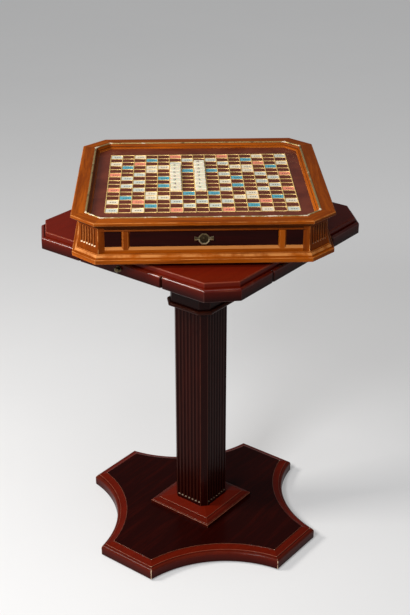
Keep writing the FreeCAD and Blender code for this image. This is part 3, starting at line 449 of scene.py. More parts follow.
base_low, base_high = heights("base_board")
foot_reach, foot_half, hollow_radius = 245 * mm, 66 * mm, 218 * mm
hollow_place = (foot_reach + foot_half) / 2 + math.sqrt(
    (hollow_radius ** 2 - (foot_reach - foot_half) ** 2 / 2) / 2)
arc_points = 5


def foot_stations(inset, ease):
    """Stations round the four feet, for every inset of a section.

    A foot's straight end lies at reach - inset. It meets the hollow arcs, of radius R + inset
    about fixed centres (c, c), at c - sqrt((R + inset)^2 - (c - end)^2) from its middle. Corners
    are eased. Returns points (stations, insets, 2), and what is corner for each station."""
    end = foot_reach - inset
    side = hollow_place - np.sqrt((hollow_radius + inset) ** 2 - (hollow_place - end) ** 2)
    ahead = np.stack([np.ones_like(end), np.zeros_like(end)], -1)
    shares = np.linspace(0, 1, arc_points)

    def foot_corner(sign):
        point = np.stack([end, sign * side], -1)
        inward = unit(np.array([hollow_place, sign * hollow_place]) - point)
        between = (ahead, inward) if sign > 0 else (inward, ahead)
        centre = point - ease * (ahead + inward) / (1 + (ahead * inward).sum(-1, keepdims=True))
        spokes = turned_between(*between, shares)
        return np.moveaxis(centre[:, None] + ease * spokes, 1, 0)

    low, high = foot_corner(-1), foot_corner(1)
    steps = np.array([0.012, 0.04, 0.12, 0.3, 0.5, 0.7, 0.88, 0.96, 0.988])[:, None, None]
    straight = low[-1] + steps * (high[0] - low[-1])
    beyond = np.stack([-low[0][:, 1], low[0][:, 0]], -1) - hollow_place
    before = high[-1] - hollow_place
    first, last = np.arctan2(before[:, 1], before[:, 0]), np.arctan2(beyond[:, 1], beyond[:, 0])
    steps = np.r_[0.006, 0.02, 0.05, np.linspace(0.09, 0.91, 42), 0.95, 0.98, 0.994][:, None]
    angle = first + steps * (last - first)
    curve = hollow_place + (hollow_radius + inset)[:, None] * np.stack([np.cos(angle), np.sin(angle)], -1)
    foot = np.concatenate([low, straight, high, curve])
    bend = np.zeros(len(foot))
    for start in (0, len(low) + len(straight)):
        bend[start + 1:start + arc_points - 1] = 1
    turns = [about_column(raised(foot, 0), quarter * np.pi / 2)[..., :2] for quarter in range(4)]
    return np.concatenate(turns), np.tile(bend, 4)


def near_corner(stations, bend):
    """1 at the corner stations of a closed path, falling off to 1 / e within 2.6 mm."""
    apart = np.linalg.norm(stations[:, None] - stations[None, bend > 0], axis=-1).min(1)
    return np.exp(-apart / (2.6 * mm))


base_section, base_edge = eased([
    (-34 * mm, base_low), (0, base_low), (0, base_low + 22.5 * mm), (-6.5 * mm, base_low + 22.5 * mm),
    (-6.9 * mm, base_low + 24.4 * mm), (-12 * mm, base_low + 25.2 * mm), (-19.4 * mm, base_low + 27.8 * mm),
    (-20.2 * mm, base_high), (-34 * mm, base_high)], [0, 1.0, 6.0, 0.25, 0.9, 8.0, 0.2, 0.8, 0],
    wear=[0, 0.3, 0.08, 0.8, 1, 0, 0.3, 1, 0])
base_out, base_up = base_section[:, 0], base_section[:, 1] - base_low
stations, bend = foot_stations(-base_out, 1.3 * mm)
near = near_corner(stations[:, 0], bend)
rings = raised(np.moveaxis(stations, 0, 1), base_section[:, 1:])
# The hub's tone is painted shade: it is as dark as the field under the table.
hub_radius, hub_painted_shade = 55 * mm, -1.2
hub = raised(unit(rings[[0, -1], :, :2]) * hub_radius, rings[[0, -1], :, 2])
rings = np.concatenate([hub[:1], rings, hub[1:]])
base_edge = np.r_[0, base_edge, 0][:, None]
rise = np.r_[0, facing_out(base_section) * (base_out > -3 * mm), 0][:, None]
# The tone here is painted light and shade: the sloped border and the shoulder paler where light falls, the
# field and the sides darker in shade.
on_border = (base_out > -19.8 * mm) & (base_up > 23.5 * mm)
on_shoulder = base_up > 14 * mm
base_painted_light = np.select([on_border, on_shoulder & (base_out > -7 * mm), on_shoulder], [1.7, 0.9, -1.2], -0.7)
make_piece("base_board", [shell(
    about_column(rings, pedestal_turn), flat_grain(rings), np.maximum(base_edge.clip(0), bend * rise), near,
    -base_edge.clip(max=0), np.r_[hub_painted_shade, base_painted_light, hub_painted_shade][:, None])],
    mahogany, "pedestal", "mahogany_gloss", "base_board")


# ------------------------------------------------------------------ foot glides
# Four round nylon glides, each moulded on a nail that is driven into the underside of a foot.
def plain_finish(name, colour, second, scale, rough=0.5, metal=0.0, bump=0.1):
    """An even finish of two close colours, mottled at a given scale, with a fine grain."""
    material, tree, shader = new_material(name, Metallic=metal)
    place = stretched(own_place(tree), (scale, scale, scale))
    mottle = noise(place, 1.0, 4, 0.6)
    feed(shader, Base_Color=mixed(mottle, colour, second), Roughness=plus(times(mottle, 0.25), rough - 0.12),
         Normal=bumped(noise(place, 6.0, 2), bump, 0.0003))
    return material


def finish_nodes(material, *nodes):
    """Gives CAD nodes a material in every slot they have."""
    for name in nodes:
        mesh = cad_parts[name].data
        mesh.materials.clear()
        mesh.materials.append(material)


black_nylon = plain_finish("black_nylon", (0.018, 0.018, 0.02, 1), (0.035, 0.035, 0.038, 1), 300)
finish_nodes(black_nylon, "foot_glides", "ball_cage")


# ------------------------------------------------------------------ column block
# A square block glued to the base under the column: a flat edge, an ovolo with a fillet, and a
# top that slopes gently up to the column. Same stain and gloss as the base; its top is painted
# paler and its sides darker, as painted light and shade.
def square(half):
    """The corners of a square, anticlockwise."""
    return np.array([(-half, -half), (half, -half), (half, half), (-half, half)])


# Shares of a side's run at which an outline has stations, closer together near its corners.
side_runs = (0.02, 0.06, 0.2, 0.5, 0.8, 0.94, 0.98)


def path_loop(polygon, offsets, ease, runs=side_runs):
    """Stations round a closed outline, for every offset of a section.

    The outline is an anticlockwise polygon whose sides move out by the offset o. A corner c between
    sides of normals m and n then lies at c + o (m + n) / (1 + m.n), and an arc of radius ease with
    both sides as tangents replaces it. Each side has stations at the given shares of its run.
    Returns points (sides, stations, offsets, 2) and what is arc for each station."""
    polygon, offsets = np.asarray(polygon, float), np.asarray(offsets, float)
    side = unit(np.roll(polygon, -1, axis=0) - polygon)
    normal = np.stack([side[:, 1], -side[:, 0]], -1)
    before = np.roll(normal, 1, axis=0)
    outward = np.sign(before[:, :1] * normal[:, 1:] - before[:, 1:] * normal[:, :1])
    spread = (before + normal) / (1 + (before * normal).sum(1, keepdims=True))
    centre = polygon[:, None] + spread[:, None] * (offsets[None] - ease * outward)[..., None]
    shares = np.linspace(0, 1, arc_points)
    spokes = turned_between(before, normal, shares)
    arc = centre[:, None] + (ease * outward)[..., None, None] * spokes[:, :, None]
    steps = np.asarray(runs)[None, :, None, None]
    run = arc[:, -1:] + steps * (np.roll(arc, -1, axis=0)[:, :1] - arc[:, -1:])
    bend = np.concatenate([outward * ((shares > 0) & (shares < 1)), np.zeros((len(polygon), len(runs)))], 1)
    return np.concatenate([arc, run], axis=1), bend


def slab(polygon, section, edge, ease, board=0.0, runs=side_runs, worn=1.0):
    """A solid whose outline follows a section (out, up) from its bottom cap to its top cap.

    Each point of the section is a ring round the outline; worn is how far the outline's corners
    are rubbed. Returns what shell takes."""
    loops, bend = path_loop(polygon, section[:, 0], ease, runs)
    stations = loops.reshape(-1, len(section), 2)
    bend = bend.ravel() * worn
    near = worn * near_corner(stations[:, len(section) // 2], bend)
    rings = raised(np.moveaxis(stations, 0, 1), section[:, 1:])
    arris = np.maximum(edge.clip(0)[:, None], bend.clip(0) * facing_out(section)[:, None])
    return [rings, flat_grain(rings), arris, near, -edge.clip(max=0)[:, None], board]


def turned(part, angle):
    """A part turned about the column's axis, its grain and marks kept."""
    return [about_column(part[0], angle), *part[1:]]


def pedestal_slab(*args, **settings):
    """The skin of a slab that stands turned with the pedestal."""
    return shell(*turned(slab(*args, **settings), pedestal_turn))


block_low, _ = heights("column_block")
block_half = 75.5 * mm
block_section, block_edge = eased(np.array([
    (-60, 0), (0, 0), (0, 7.0), (-1.8, 7.2), (-2.2, 8.2), (-8.5, 10.9), (-13.0, 11.9), (-13.2, 13.2),
    (-15.4, 13.6), (-36, 17), (-60, 17)]) * mm + (0, block_low),
    [0, 0.4, 1.2, 0.2, 0.8, 3.0, 0.3, 0.9, 0.4, 0.2, 0],
    wear=[0, 0.2, 1, 0.6, 0.8, 0.2, 0.6, 1, 0.5, 0, 0])
block_up = block_section[:, 1] - block_low
# The tone is painted light and shade: the sloping top paler, the ovolo less so, the sides darker.
block_painted_light = np.select([block_up > 13 * mm, block_up > 7.6 * mm], [2.2, 1.0], -0.5)[:, None]
make_piece("column_block", [pedestal_slab(
    square(block_half), block_section, block_edge, 1.0 * mm, board=block_painted_light, worn=0.45)],
    mahogany, "pedestal", "mahogany_gloss", "column_block")


# ------------------------------------------------------------------ column
# Four boards mitred into a square tube with cut corners. Seven round-ended flutes are routed up
# the face of each board, and the flutes' fillets are faintly rubbed. The boards are painted dark
# as painted shade under the table, and the flutes' feet pale as painted glints.
column_low, column_high = heights("column_board_rear_left")
column_half, column_cut, column_board = 41.5 * mm, 10.5 * mm, 14 * mm
flute_radius, flute_depth, flute_foot, flute_count = 2.9 * mm, 2.2 * mm, 9 * mm, 7
flute_reach = column_half - column_cut - 4.6 * mm
flute_steps = 9


def flute_width(radius, depth):
    """Half the width of a flute at the face: sqrt(r^2 - (r - d)^2)."""
    return math.sqrt(radius ** 2 - (radius - depth) ** 2)


def flute_places(reach, count, radius, depth):
    """Places across a face that show its flutes: a few in each flute, evenly turned about its axis."""
    turns = np.sin(np.linspace(-np.pi / 2, np.pi / 2, flute_steps)) * flute_width(radius, depth)
    return (np.linspace(-reach, reach, count)[:, None] + turns).ravel()


def from_axis(count):
    """How many places each of the flutes' places lies from the axis of its own flute."""
    return np.abs(np.arange(count) % flute_steps - flute_steps // 2)


def flute_depth_at(across, height, low, high, reach, count, radius, depth):
    """Depth of round-ended flutes: sqrt(r^2 - x^2 - z^2) - (r - d), where x is the distance to the
    nearest flute's axis and z the distance past either end of it."""
    centres = np.linspace(-reach, reach, count)
    x = np.abs(across[..., None] - centres).min(-1)
    z = np.maximum(low - height, height - high).clip(0)
    return (np.sqrt((radius ** 2 - x ** 2 - z ** 2).clip(0)) - (radius - depth)).clip(0)


def flute_heights(low, high, radius, depth):
    """Heights that show the flutes' round ends, evenly turned about each end."""
    turns = np.sin(np.linspace(0, np.pi / 2, 8)) * flute_width(radius, depth)
    return np.r_[(low - turns)[::-1], np.linspace(low, high, 9)[1:-1], high + turns]


mitre = column_half - column_cut / 2
inner = column_half - column_board
face_end = column_half - column_cut
outline, outline_edge = eased([
    (-face_end, -column_half), (face_end, -column_half), (mitre, -mitre), (inner, -inner),
    (-inner, -inner), (-mitre, -mitre)], [1.4, 1.4, 0.25, 0.2, 0.2, 0.25], wear=[0.35, 0.35, 0, 0, 0, 0])
places = flute_places(flute_reach, flute_count, flute_radius, flute_depth)
face = coords(places, -column_half)
corner_points = 5
outline = np.concatenate([outline[:corner_points], face, outline[corner_points:]])
outline_edge = np.r_[outline_edge[:corner_points], np.zeros(len(face)), outline_edge[corner_points:]]
flute_low, flute_high = column_low + flute_foot, column_high - flute_foot
levels = np.r_[column_low, flute_heights(flute_low, flute_high, flute_radius, flute_depth), column_high]
column_rings = coords(*outline.T, levels[:, None])
fluted = slice(corner_points, corner_points + len(face))
column_rings[:, fluted, 1] += flute_depth_at(
    column_rings[:, fluted, 0], column_rings[:, fluted, 2], flute_low, flute_high, flute_reach, flute_count,
    flute_radius, flute_depth)
column_grain = coords(column_rings[..., 2], run_length(outline))
column_arris = np.broadcast_to(outline_edge.clip(0), column_rings.shape[:2]).copy()
across_flute = from_axis(len(face))
column_arris[1:-1, fluted] = np.where(across_flute == flute_steps // 2, 0.06, 0)
# Painted glints: where light catches the flutes' round feet they are painted as pale bare wood.
flute_end = (levels < flute_low) & (levels > flute_low - 2.5 * mm)
column_painted_glint = np.zeros_like(column_arris)
column_painted_glint[:, fluted] = 0.22 * flute_end[:, None] * (across_flute < 3)
quarters = ("front_right", "rear_right", "rear_left", "front_left")
# The boards' tone of -1.5 is painted shade: the column stands in the table's shadow.
for quarter, side in enumerate(quarters):
    make_piece(f"column_board_{side}", [shell(
        about_column(column_rings, pedestal_turn + quarter * np.pi / 2), column_grain, column_arris, 0,
        -outline_edge.clip(max=0), 0.1 * quarter - 1.5, column_painted_glint)],
        mahogany, "pedestal", "mahogany_gloss", f"column_board_{side}")


# ------------------------------------------------------------------ capital and neck
# A round-edged bead glued to the column's head, and a plain block of the column's own shape that
# carries the table top. Each is one piece of stained wood with cut corners, painted darker as
# painted shade under the table.
def cut_square(half, cut):
    """The corners of a square whose own corners are cut off at 45 degrees, cut along each side."""
    end = half - cut
    return np.array([(-end, -half), (end, -half), (half, -end), (half, end),
                     (end, half), (-end, half), (-half, end), (-half, -end)])


def plate_line(reach, low, high, eases, steps=4, wear=1.0):
    """The section of a plate's edge: out below, up and back in, with its four corners eased."""
    return eased([(-reach, low), (0, low), (0, high), (-reach, high)], eases, steps, wear)


tangent = 2 - math.sqrt(2)
# Both are painted dark with a tone of -1.3, as painted shade under the table top.
for name, out, round_over in (("capital_collar", 14 * mm, 4.1), ("neck_block", 8 * mm, 1.2)):
    section, edge = plate_line(20 * mm, *heights(name), [0, round_over, round_over, 0], 8, 0.15)
    make_piece(name, [pedestal_slab(
        cut_square(column_half + out, column_cut + tangent * out), section, edge, 1.2 * mm, board=-1.3,
        worn=0.15)], mahogany, "pedestal", "mahogany_gloss", name)


# ------------------------------------------------------------------ inner woodwork and hardware
# Plain sanded hardwood that is seen only from below or with a slide or the drawer pulled out,
# and the steel of the tie rod, turntable plates, balls and screws.
def plain_wood(name, grain):
    """Bare sanded hardwood; grain turns the piece's own axes to the grain."""
    return wooden(name, pale=(0.46, 0.27, 0.13, 1), deep=(0.33, 0.175, 0.08, 1), rubbed=(0.5, 0.3, 0.15, 1),
                  bare=(0.5, 0.3, 0.15, 1), gloss=0.45, coat=0.05, rub=0, chip=0, grain=grain, bump=0.2)


wood_along_x = plain_wood("plain_wood", (0, 0, 0))
wood_along_y = plain_wood("plain_wood_deep", (0, 0, math.pi / 2))
wood_turned = plain_wood("plain_wood_turned", (0, 0, pedestal_turn))
finish_nodes(wood_along_x, "cabinet_floor", "drawer_back", "board_ledges")
finish_nodes(wood_along_y, "drawer_sides", "drawer_bottom", "drawer_dividers", "drawer_runners")
finish_nodes(wood_turned, "table_bottom_board", "slide_runners", "table_cleat",
             *(f"slide_tray_{side}" for side in quarters))
steel = plain_finish("steel", (0.34, 0.34, 0.35, 1), (0.50, 0.50, 0.51, 1), 60, rough=0.36, metal=1.0,
                     bump=0.05)
finish_nodes(steel, "tie_rod", "tie_rod_nuts_and_washers", "turntable_lower_plate", "turntable_upper_plate",
             "turntable_balls", "cleat_screws", "lower_plate_screws", "upper_plate_screws")


# ------------------------------------------------------------------ table top: corner blocks
# The rim's four corners, each one moulding mitred twice round a cut corner of the table. A lip
# stands up at its outer edge, rounded over and polished bright by hands, and each end has a small
# groove where a slide begins. The grooves and the rim's hollows are painted dark as painted shade.
table_half, table_cut = 236 * mm, 45.5 * mm
rim_low, rim_high = heights("table_corner_blocks")
panel_low, table_high = heights("table_top_panel")
lip_in = table_half - 5.4 * mm
slide_start, groove = 96 * mm, 3 * mm


def rim_moulding(inner, shelf, rubbing):
    """The rim's section: a lip, rounded over outside, and a shelf inside it that reaches to inner."""
    return eased([(inner, rim_low), (table_half, rim_low), (table_half, rim_high), (lip_in, rim_high),
                  (lip_in, shelf), (inner, shelf)], [0.2, 1.6, 4.8, 0.4, 0.2, 0.2], 6,
                 wear=[0, 0.2, rubbing, 0.3, 0, 0])


def rim_tone(section):
    """Tone of the rim: deep from its foot, and paler from 12 to 20 mm above it."""
    return 2.2 * ((section[:, 1] - rim_low - 12 * mm) / (8 * mm)).clip(0, 1) - 1.4


def groove_cut(from_end):
    """How far the groove at a length's end cuts in, 1.7 times what is left of its half width at a
    distance from the end, and the painted shade in it: 1.3 times that cut over the half width."""
    cut = 1.7 * (groove - from_end).clip(0)[:, None]
    return cut, (1.3 * cut / groove).clip(0, 1)


def end_wear(from_end):
    """Wear of a length's end: 0.4, falling off to 1 / e of that within 2.5 mm."""
    return 0.4 * np.exp(-from_end / (2.5 * mm))[:, None]


def corner_walk(polygon, half, start, offsets, ease, flank, cut):
    """Stations round the front left corner of a cut square, from start on one side to start on the
    other, for every offset of a section; flank and cut are the shares of the runs between corners.
    Returns points (stations, offsets, 2), what is arc, and each station's way from the start."""
    loops, bend = path_loop(polygon, offsets, ease, cut)
    first, second = loops[-1], loops[0, :arc_points]
    flank = np.asarray(flank)[:, None, None]
    out = half + offsets
    ends = [begin + flank * (near - begin) for near, begin in (
        (first[0], coords(-out, -start)), (second[-1], coords(-start, -out)))]
    walk = np.concatenate([ends[0], first, second, ends[1][::-1]])
    arc = np.r_[np.zeros(len(flank)), bend[-1], bend[0, :arc_points], np.zeros(len(flank))]
    return walk, arc, np.abs(walk[:, 0] + start).min(-1)


rim_section, rim_edge = rim_moulding(table_half - 18.3 * mm, panel_low, 0.35)
corner_walks, corner_bend, from_start = corner_walk(
    cut_square(table_half, table_cut), table_half, slide_start, rim_section[:, 0] - table_half, 1.3 * mm,
    (0, 0.032, 0.06, 0.2, 0.5, 0.8, 0.95), (0.03, 0.1, 0.3, 0.5, 0.7, 0.9, 0.97))
cut, dark = groove_cut(from_start)
out = np.abs(corner_walks).max(-1)
pulled_in = 1 - (out - (table_half - cut)).clip(0) / out
outermost = np.abs(corner_walks) == out[..., None]
corner_walks = np.where(outermost, corner_walks * pulled_in[..., None], corner_walks)
corner_rings = raised(corner_walks, rim_section[:, 1])
corner_grain = coords(run_length(corner_rings[:, 3])[:, None], run_length(rim_section))
corner_arris = np.maximum(rim_edge.clip(0), 0.3 * corner_bend[:, None].clip(0) * facing_out(rim_section))
# Painted shade: the rim's hollows and its grooves are darkened.
corner_painted_shade = np.maximum(-rim_edge.clip(max=0), dark)
lip_mahogany = wooden("mahogany_lip", rub=0.45, chip=0.28, polish=1.5, **mahogany_look)
make_piece("table_corner_blocks", [shell(
    about_column(corner_rings, pedestal_turn + quarter * np.pi / 2), corner_grain, corner_arris,
    end_wear(from_start), corner_painted_shade, rim_tone(rim_section) + 0.15 * quarter) for quarter in range(4)],
    lip_mahogany, "pedestal", "mahogany_gloss", "table_corner_blocks")


# ------------------------------------------------------------------ table top: panel
# The flat top board inside the rim, with a rounded edge. A narrow shadow line is left between it
# and the lip. Gloss lacquer over straight-grained mahogany.
panel_half, panel_cut = table_half - 7 * mm, table_cut - 2.2 * mm
panel_section, panel_edge = plate_line(60 * mm, panel_low, table_high, [0, 0.3, 2.2, 0], 6, 0.4)
make_piece("table_top_panel", [pedestal_slab(
    cut_square(panel_half, panel_cut), panel_section, panel_edge, 1.5 * mm, board=2.0, worn=0.2)],
    mahogany, "pedestal", "mahogany_gloss", "table_top_panel")


# ------------------------------------------------------------------ table top: slides
# Each side of the table has a pull-out slide. Its front continues the rim between the grooves and
# carries a small turned brass knob, screwed in from behind.
def bar(section, stations, edge, board=0.0, corner=0.0):
    """A straight moulding along X: a section (out, up) at each station, out being towards -Y."""
    x = np.asarray(stations)[:, None]
    return [coords(x, -section[:, 0], section[:, 1]), coords(x, run_length(section)), edge.clip(0), corner,
            -edge.clip(max=0), board]


brass_material, tree, shader = new_material("aged_brass", Metallic=1.0)
tarnish = noise(own_place(tree), 190.0, 5, 0.65)
colour = mixed(eased_step(tarnish, 0.38, 0.66), (0.12, 0.080, 0.030, 1), (0.30, 0.22, 0.10, 1))
colour = mixed(times(marked(tree, "arris"), 0.6), colour, (0.76, 0.66, 0.42, 1))
feed(shader, Base_Color=mixed(marked(tree, "hollow"), colour, (0.05, 0.035, 0.018, 1)),
     Roughness=plus(times(tarnish, 0.3), 0.16), Normal=bumped(tarnish, 0.15, 0.0003))


def lathe(profile, edge, steps=32):
    """A turned piece about the Y axis: a profile of (radius, out), out being towards -Y. Its
    points are (radius cos a, -out, radius sin a)."""
    angle = np.linspace(0, 2 * np.pi, steps, endpoint=False)
    radius, out = profile[:, :1], profile[:, 1:]
    return [coords(radius * np.cos(angle), -out, radius * np.sin(angle)), coords(radius * angle, out),
            edge.clip(0)[:, None]]


def moved(part, step):
    """A part moved by a step, its grain and marks kept."""
    return [part[0] + step, *part[1:]]


slide_end = slide_start - 0.3 * mm
slide_section, slide_edge = rim_moulding(table_half - 18 * mm, heights("slide_tray_front_right")[1], 0.4)
groove_share = groove / slide_end
half_way = np.array([0, 0.5, 0.9, 1 - groove_share, 1 - 0.6 * groove_share, 1]) * slide_end
slide_stations = np.r_[-half_way[:0:-1], half_way]
from_end = slide_end - np.abs(slide_stations)
cut, dark = groove_cut(from_end)
slide_front = bar(slide_section, slide_stations, slide_edge, corner=end_wear(from_end))
slide_front[0][..., 1] = np.maximum(slide_front[0][..., 1], cut - table_half)
# Painted shade in the grooves at the slide's ends.
slide_front[4] = np.maximum(slide_front[4], dark)
knob_line, knob_edge = eased(np.array([
    (0.3, 0), (6, 0), (6, 0.9), (2.2, 1.9), (2.2, 3.2), (5, 5.0), (5, 6.6), (3.2, 8), (0.3, 8)]) * mm
    + (0, table_half), [0, 0, 0.4, 0.8, 0.8, 0.6, 0.8, 1.0, 0])
knob = moved(lathe(knob_line, knob_edge), (0, 0, (rim_low + rim_high) / 2))
for quarter, side in enumerate(quarters):
    angle = pedestal_turn + quarter * np.pi / 2
    make_piece(f"slide_front_{side}", [shell(
        about_column(slide_front[0], angle), *slide_front[1:5], rim_tone(slide_section) + 0.15 * quarter)],
        lip_mahogany, f"slide_{side}", "mahogany_gloss", f"slide_front_{side}")
    make_piece(f"slide_knob_{side}", [shell(*turned(knob, angle), hollow=0.72)],
               brass_material, f"slide_{side}", "aged_brass", f"slide_knob_{side}")


# ------------------------------------------------------------------ cabinet: plinth moulding
# Eight lengths of moulding, mitred round the foot of the cabinet: a flat fascia, a cove and a
# bead. Light wood with an orange-brown stain and a satin lacquer, its arrises rubbed pale. The
# cove and the front lengths are painted paler, as painted light.
light_wood = wooden("light_wood", pale=(0.37, 0.079, 0.0030, 1), deep=(0.175, 0.031, 0.0010, 1),
                    rubbed=(0.60, 0.235, 0.062, 1), bare=(0.86, 0.68, 0.45, 1), gloss=0.40, coat=0.04,
                    rub=0.52, chip=0.20, bump=0.08, shine=0.04)
cabinet_half, cabinet_cut = 217 * mm, 34.4 * mm
cabinet_polygon = cut_square(cabinet_half, cabinet_cut)


def mitred_lengths(polygon, section, edge, ease, tone=0.0, painted_shade=(0,) * 8):
    """One closed length for each side of an outline, cut at the middle of its corners.

    The section (out, up) is carried along each side; along a side the grain map runs with the
    side's own direction. The very ends are marked as a hollow: the dark line of a mitre. The last
    argument is painted light and shade: how much darker each length is painted, from the front
    round by the right; below zero it is painted paler."""
    loops, bend = path_loop(polygon, section[:, 0], ease)
    half_arc = arc_points // 2
    lengths, bends = (np.concatenate([way[:, half_arc:], np.roll(way, -1, axis=0)[:, :half_arc + 1]], axis=1)
                      for way in (loops, bend))
    side = unit(np.roll(polygon, -1, axis=0) - polygon)
    skins = []
    for number, (length, turn) in enumerate(zip(lengths, bends)):
        grain = coords(length @ side[number], run_length(section))
        near = near_corner(length[:, 0], turn)[:, None]
        arris = np.maximum(edge.clip(0), turn[:, None].clip(0) * facing_out(section))
        hollow = np.broadcast_to(-edge.clip(max=0), arris.shape).copy()
        hollow[[0, -1]] = 0.7
        skins.append(shell(raised(length, section[:, 1]), grain, arris, near, hollow,
                           (number * 0.38 + tone) % 1 - painted_shade[number]))
    return skins


plinth_low, _ = heights("plinth_moulding")
plinth_rise = 15.9 * mm
plinth_section, plinth_edge = eased(np.array([
    (0.2, 0), (13.5, 0), (13.5, 8.0), (9.2, 8.2), (9.0, 11.0), (6.1, 14.2), (5.6, 14.4), (5.6, 15.9),
    (0.2, 15.9)]) * mm + (0, plinth_low), [0, 0.9, 0.8, 0.2, 2.2, 0.2, 0.15, 0.6, 0],
    wear=[0, 0.5, 1, 0.7, 0.3, 1, 0.8, 0.8, 0])
# Painted light: the cove faces up and is marked as a rubbed arris, so it is painted pale.
on_cove = (plinth_section[:, 1] > plinth_low + 10.5 * mm) & (plinth_section[:, 0] > 5.8 * mm)
plinth_edge = np.where(on_cove, np.maximum(plinth_edge, 0.9), plinth_edge)
# The front lengths are painted paler, as painted light.
make_piece("plinth_moulding", mitred_lengths(cabinet_polygon, plinth_section, plinth_edge, 0.9 * mm, 0.0,
                                             (-0.9, -0.6, 0, 0, 0, 0, 0, -0.3)),
           light_wood, "cabinet", "light_wood", "plinth_moulding")


# ------------------------------------------------------------------ cabinet: walls
# Each wall is a frame of two rails and two stiles, glued up flush. The openings' edges are
# bevelled back to the panels, most at the foot, and a thin bead runs along the top rail. The
# sill is painted paler as painted light, and the top rail darker as painted shade under the frame.
wall_low, wall_high = heights("apron_front")
wall_in = cabinet_half - 14 * mm
opening_low, opening_high = wall_low + 19.9 * mm, wall_high - 6.4 * mm
post_start = 171.5 * mm
small_start = post_start - 29.5 * mm
drawer_half = small_start - 13.5 * mm
set_back, foot_bevel, side_bevel = 3 * mm, 4.7 * mm, 2.3 * mm
panel_face = cabinet_half - set_back
low_rail, low_edge = eased([
    (wall_in, wall_low), (cabinet_half, wall_low), (cabinet_half, opening_low - foot_bevel),
    (panel_face, opening_low), (wall_in, opening_low)], [0, 0, 0.9, 0.4, 0])
on_sill = low_rail[:, 1] > opening_low - foot_bevel - 0.2 * mm
# Painted light: the sill is marked as a rubbed arris and given a pale tone.
low_edge = np.where(on_sill, 0.85, low_edge)
rail_painted_light = np.where(on_sill, 2.4, 0.9)
bead_high, bead_out, quirk = opening_high + 3.0 * mm, 1.2 * mm, 0.8 * mm
top_rail, top_edge = eased([
    (wall_in, opening_high), (cabinet_half + bead_out, opening_high), (cabinet_half + bead_out, bead_high),
    (cabinet_half - quirk, bead_high), (cabinet_half - quirk, bead_high + quirk),
    (cabinet_half, bead_high + quirk), (cabinet_half, wall_high), (wall_in, wall_high)],
    [0, 1.2, 1.2, 0.3, 0.3, 0.2, 0, 0], wear=[0, 0.1, 0.15, 1, 1, 0, 0, 0])
# Painted shade: above the bead the top rail is marked as a hollow and darkened under the frame.
top_edge[top_rail[:, 1] > bead_high + quirk / 2] = -0.9
stile_half = (small_start - drawer_half) / 2
stile_outline, stile_edge = eased([
    (-stile_half, -wall_in), (-stile_half, -panel_face), (side_bevel - stile_half, -cabinet_half),
    (stile_half - side_bevel, -cabinet_half), (stile_half, -panel_face), (stile_half, -wall_in)],
    [0, 0.3, 0.7, 0.7, 0.3, 0])


def stile(middle, tone):
    """An upright of the wall's frame, its foot cut to sit on the bevel of the bottom rail."""
    rise = ((stile_outline[:, 1] + cabinet_half) / set_back).clip(0, 1) * foot_bevel
    foot = opening_low - foot_bevel + rise
    height = foot + np.array([0, 0.1, 0.5, 0.9, 1])[:, None] * (opening_high - foot)
    return [coords(stile_outline[:, 0] + middle, stile_outline[:, 1], height),
            coords(height, run_length(stile_outline)), stile_edge.clip(0), 0, 0, tone]


rail_stations = np.linspace(-post_start, post_start, 9)
for quarter, wall in enumerate(("front", "right", "rear", "left")):
    # The top rail's tone of -2.0 is painted shade under the frame's overhang.
    parts = [bar(low_rail, rail_stations, low_edge, rail_painted_light + 0.1 * quarter, 0.6 * on_sill),
             bar(top_rail, rail_stations, top_edge, -2.0)]
    parts += [stile(side * (small_start + drawer_half) / 2, 0.9 + 0.3 * side) for side in (-1, 1)]
    make_piece(f"apron_{wall}", [shell(*turned(part, quarter * np.pi / 2)) for part in parts],
               light_wood, "cabinet", "light_wood", f"apron_{wall}")


# ------------------------------------------------------------------ cabinet: panels
# Thin burgundy-lacquered panels behind the openings: two small ones in every wall and a long one
# where the wall has no drawer.
burgundy = wooden("burgundy_lacquer", pale=(0.024, 0.0018, 0.0010, 1), deep=(0.011, 0.0009, 0.0006, 1),
                  rubbed=(0.12, 0.02, 0.01, 1), bare=(0.5, 0.3, 0.18, 1), gloss=0.28, coat=0.05, rub=0.35,
                  chip=0.15, figure=0.7, bump=0.03, shine=0.03)


def upright(parts, face):
    """A slab made flat, stood up: its underside at -face, its top towards -Y."""
    x, y, z = np.moveaxis(parts[0], -1, 0)
    return [np.stack([x, -z - face, y], -1), *parts[1:]]


def panel(left, right, low, high, face, thick, ease, board):
    """An upright board between two heights, its front at -face, its front edges eased."""
    outline = np.array([(left, low), (right, low), (right, high), (left, high)])
    line, edge = plate_line(5 * mm, 0, thick, [0, 0, ease, 0])
    return upright(slab(outline, line, edge, 0.3 * mm, board), face - thick)


panel_thick = 6 * mm
wall_panels = []
for quarter in range(4):
    spans = [(-post_start, -small_start), (small_start, post_start)]
    spans += [(-drawer_half, drawer_half)] * (quarter > 0)
    for number, (left, right) in enumerate(spans):
        part = panel(left, right, opening_low, opening_high, panel_face, panel_thick, 0.2,
                     (0.3 * number + 0.2 * quarter) % 1)
        wall_panels.append(shell(*turned(part, quarter * np.pi / 2)))
make_piece("wall_panels", wall_panels, burgundy, "cabinet", "burgundy_lacquer", "wall_panels")


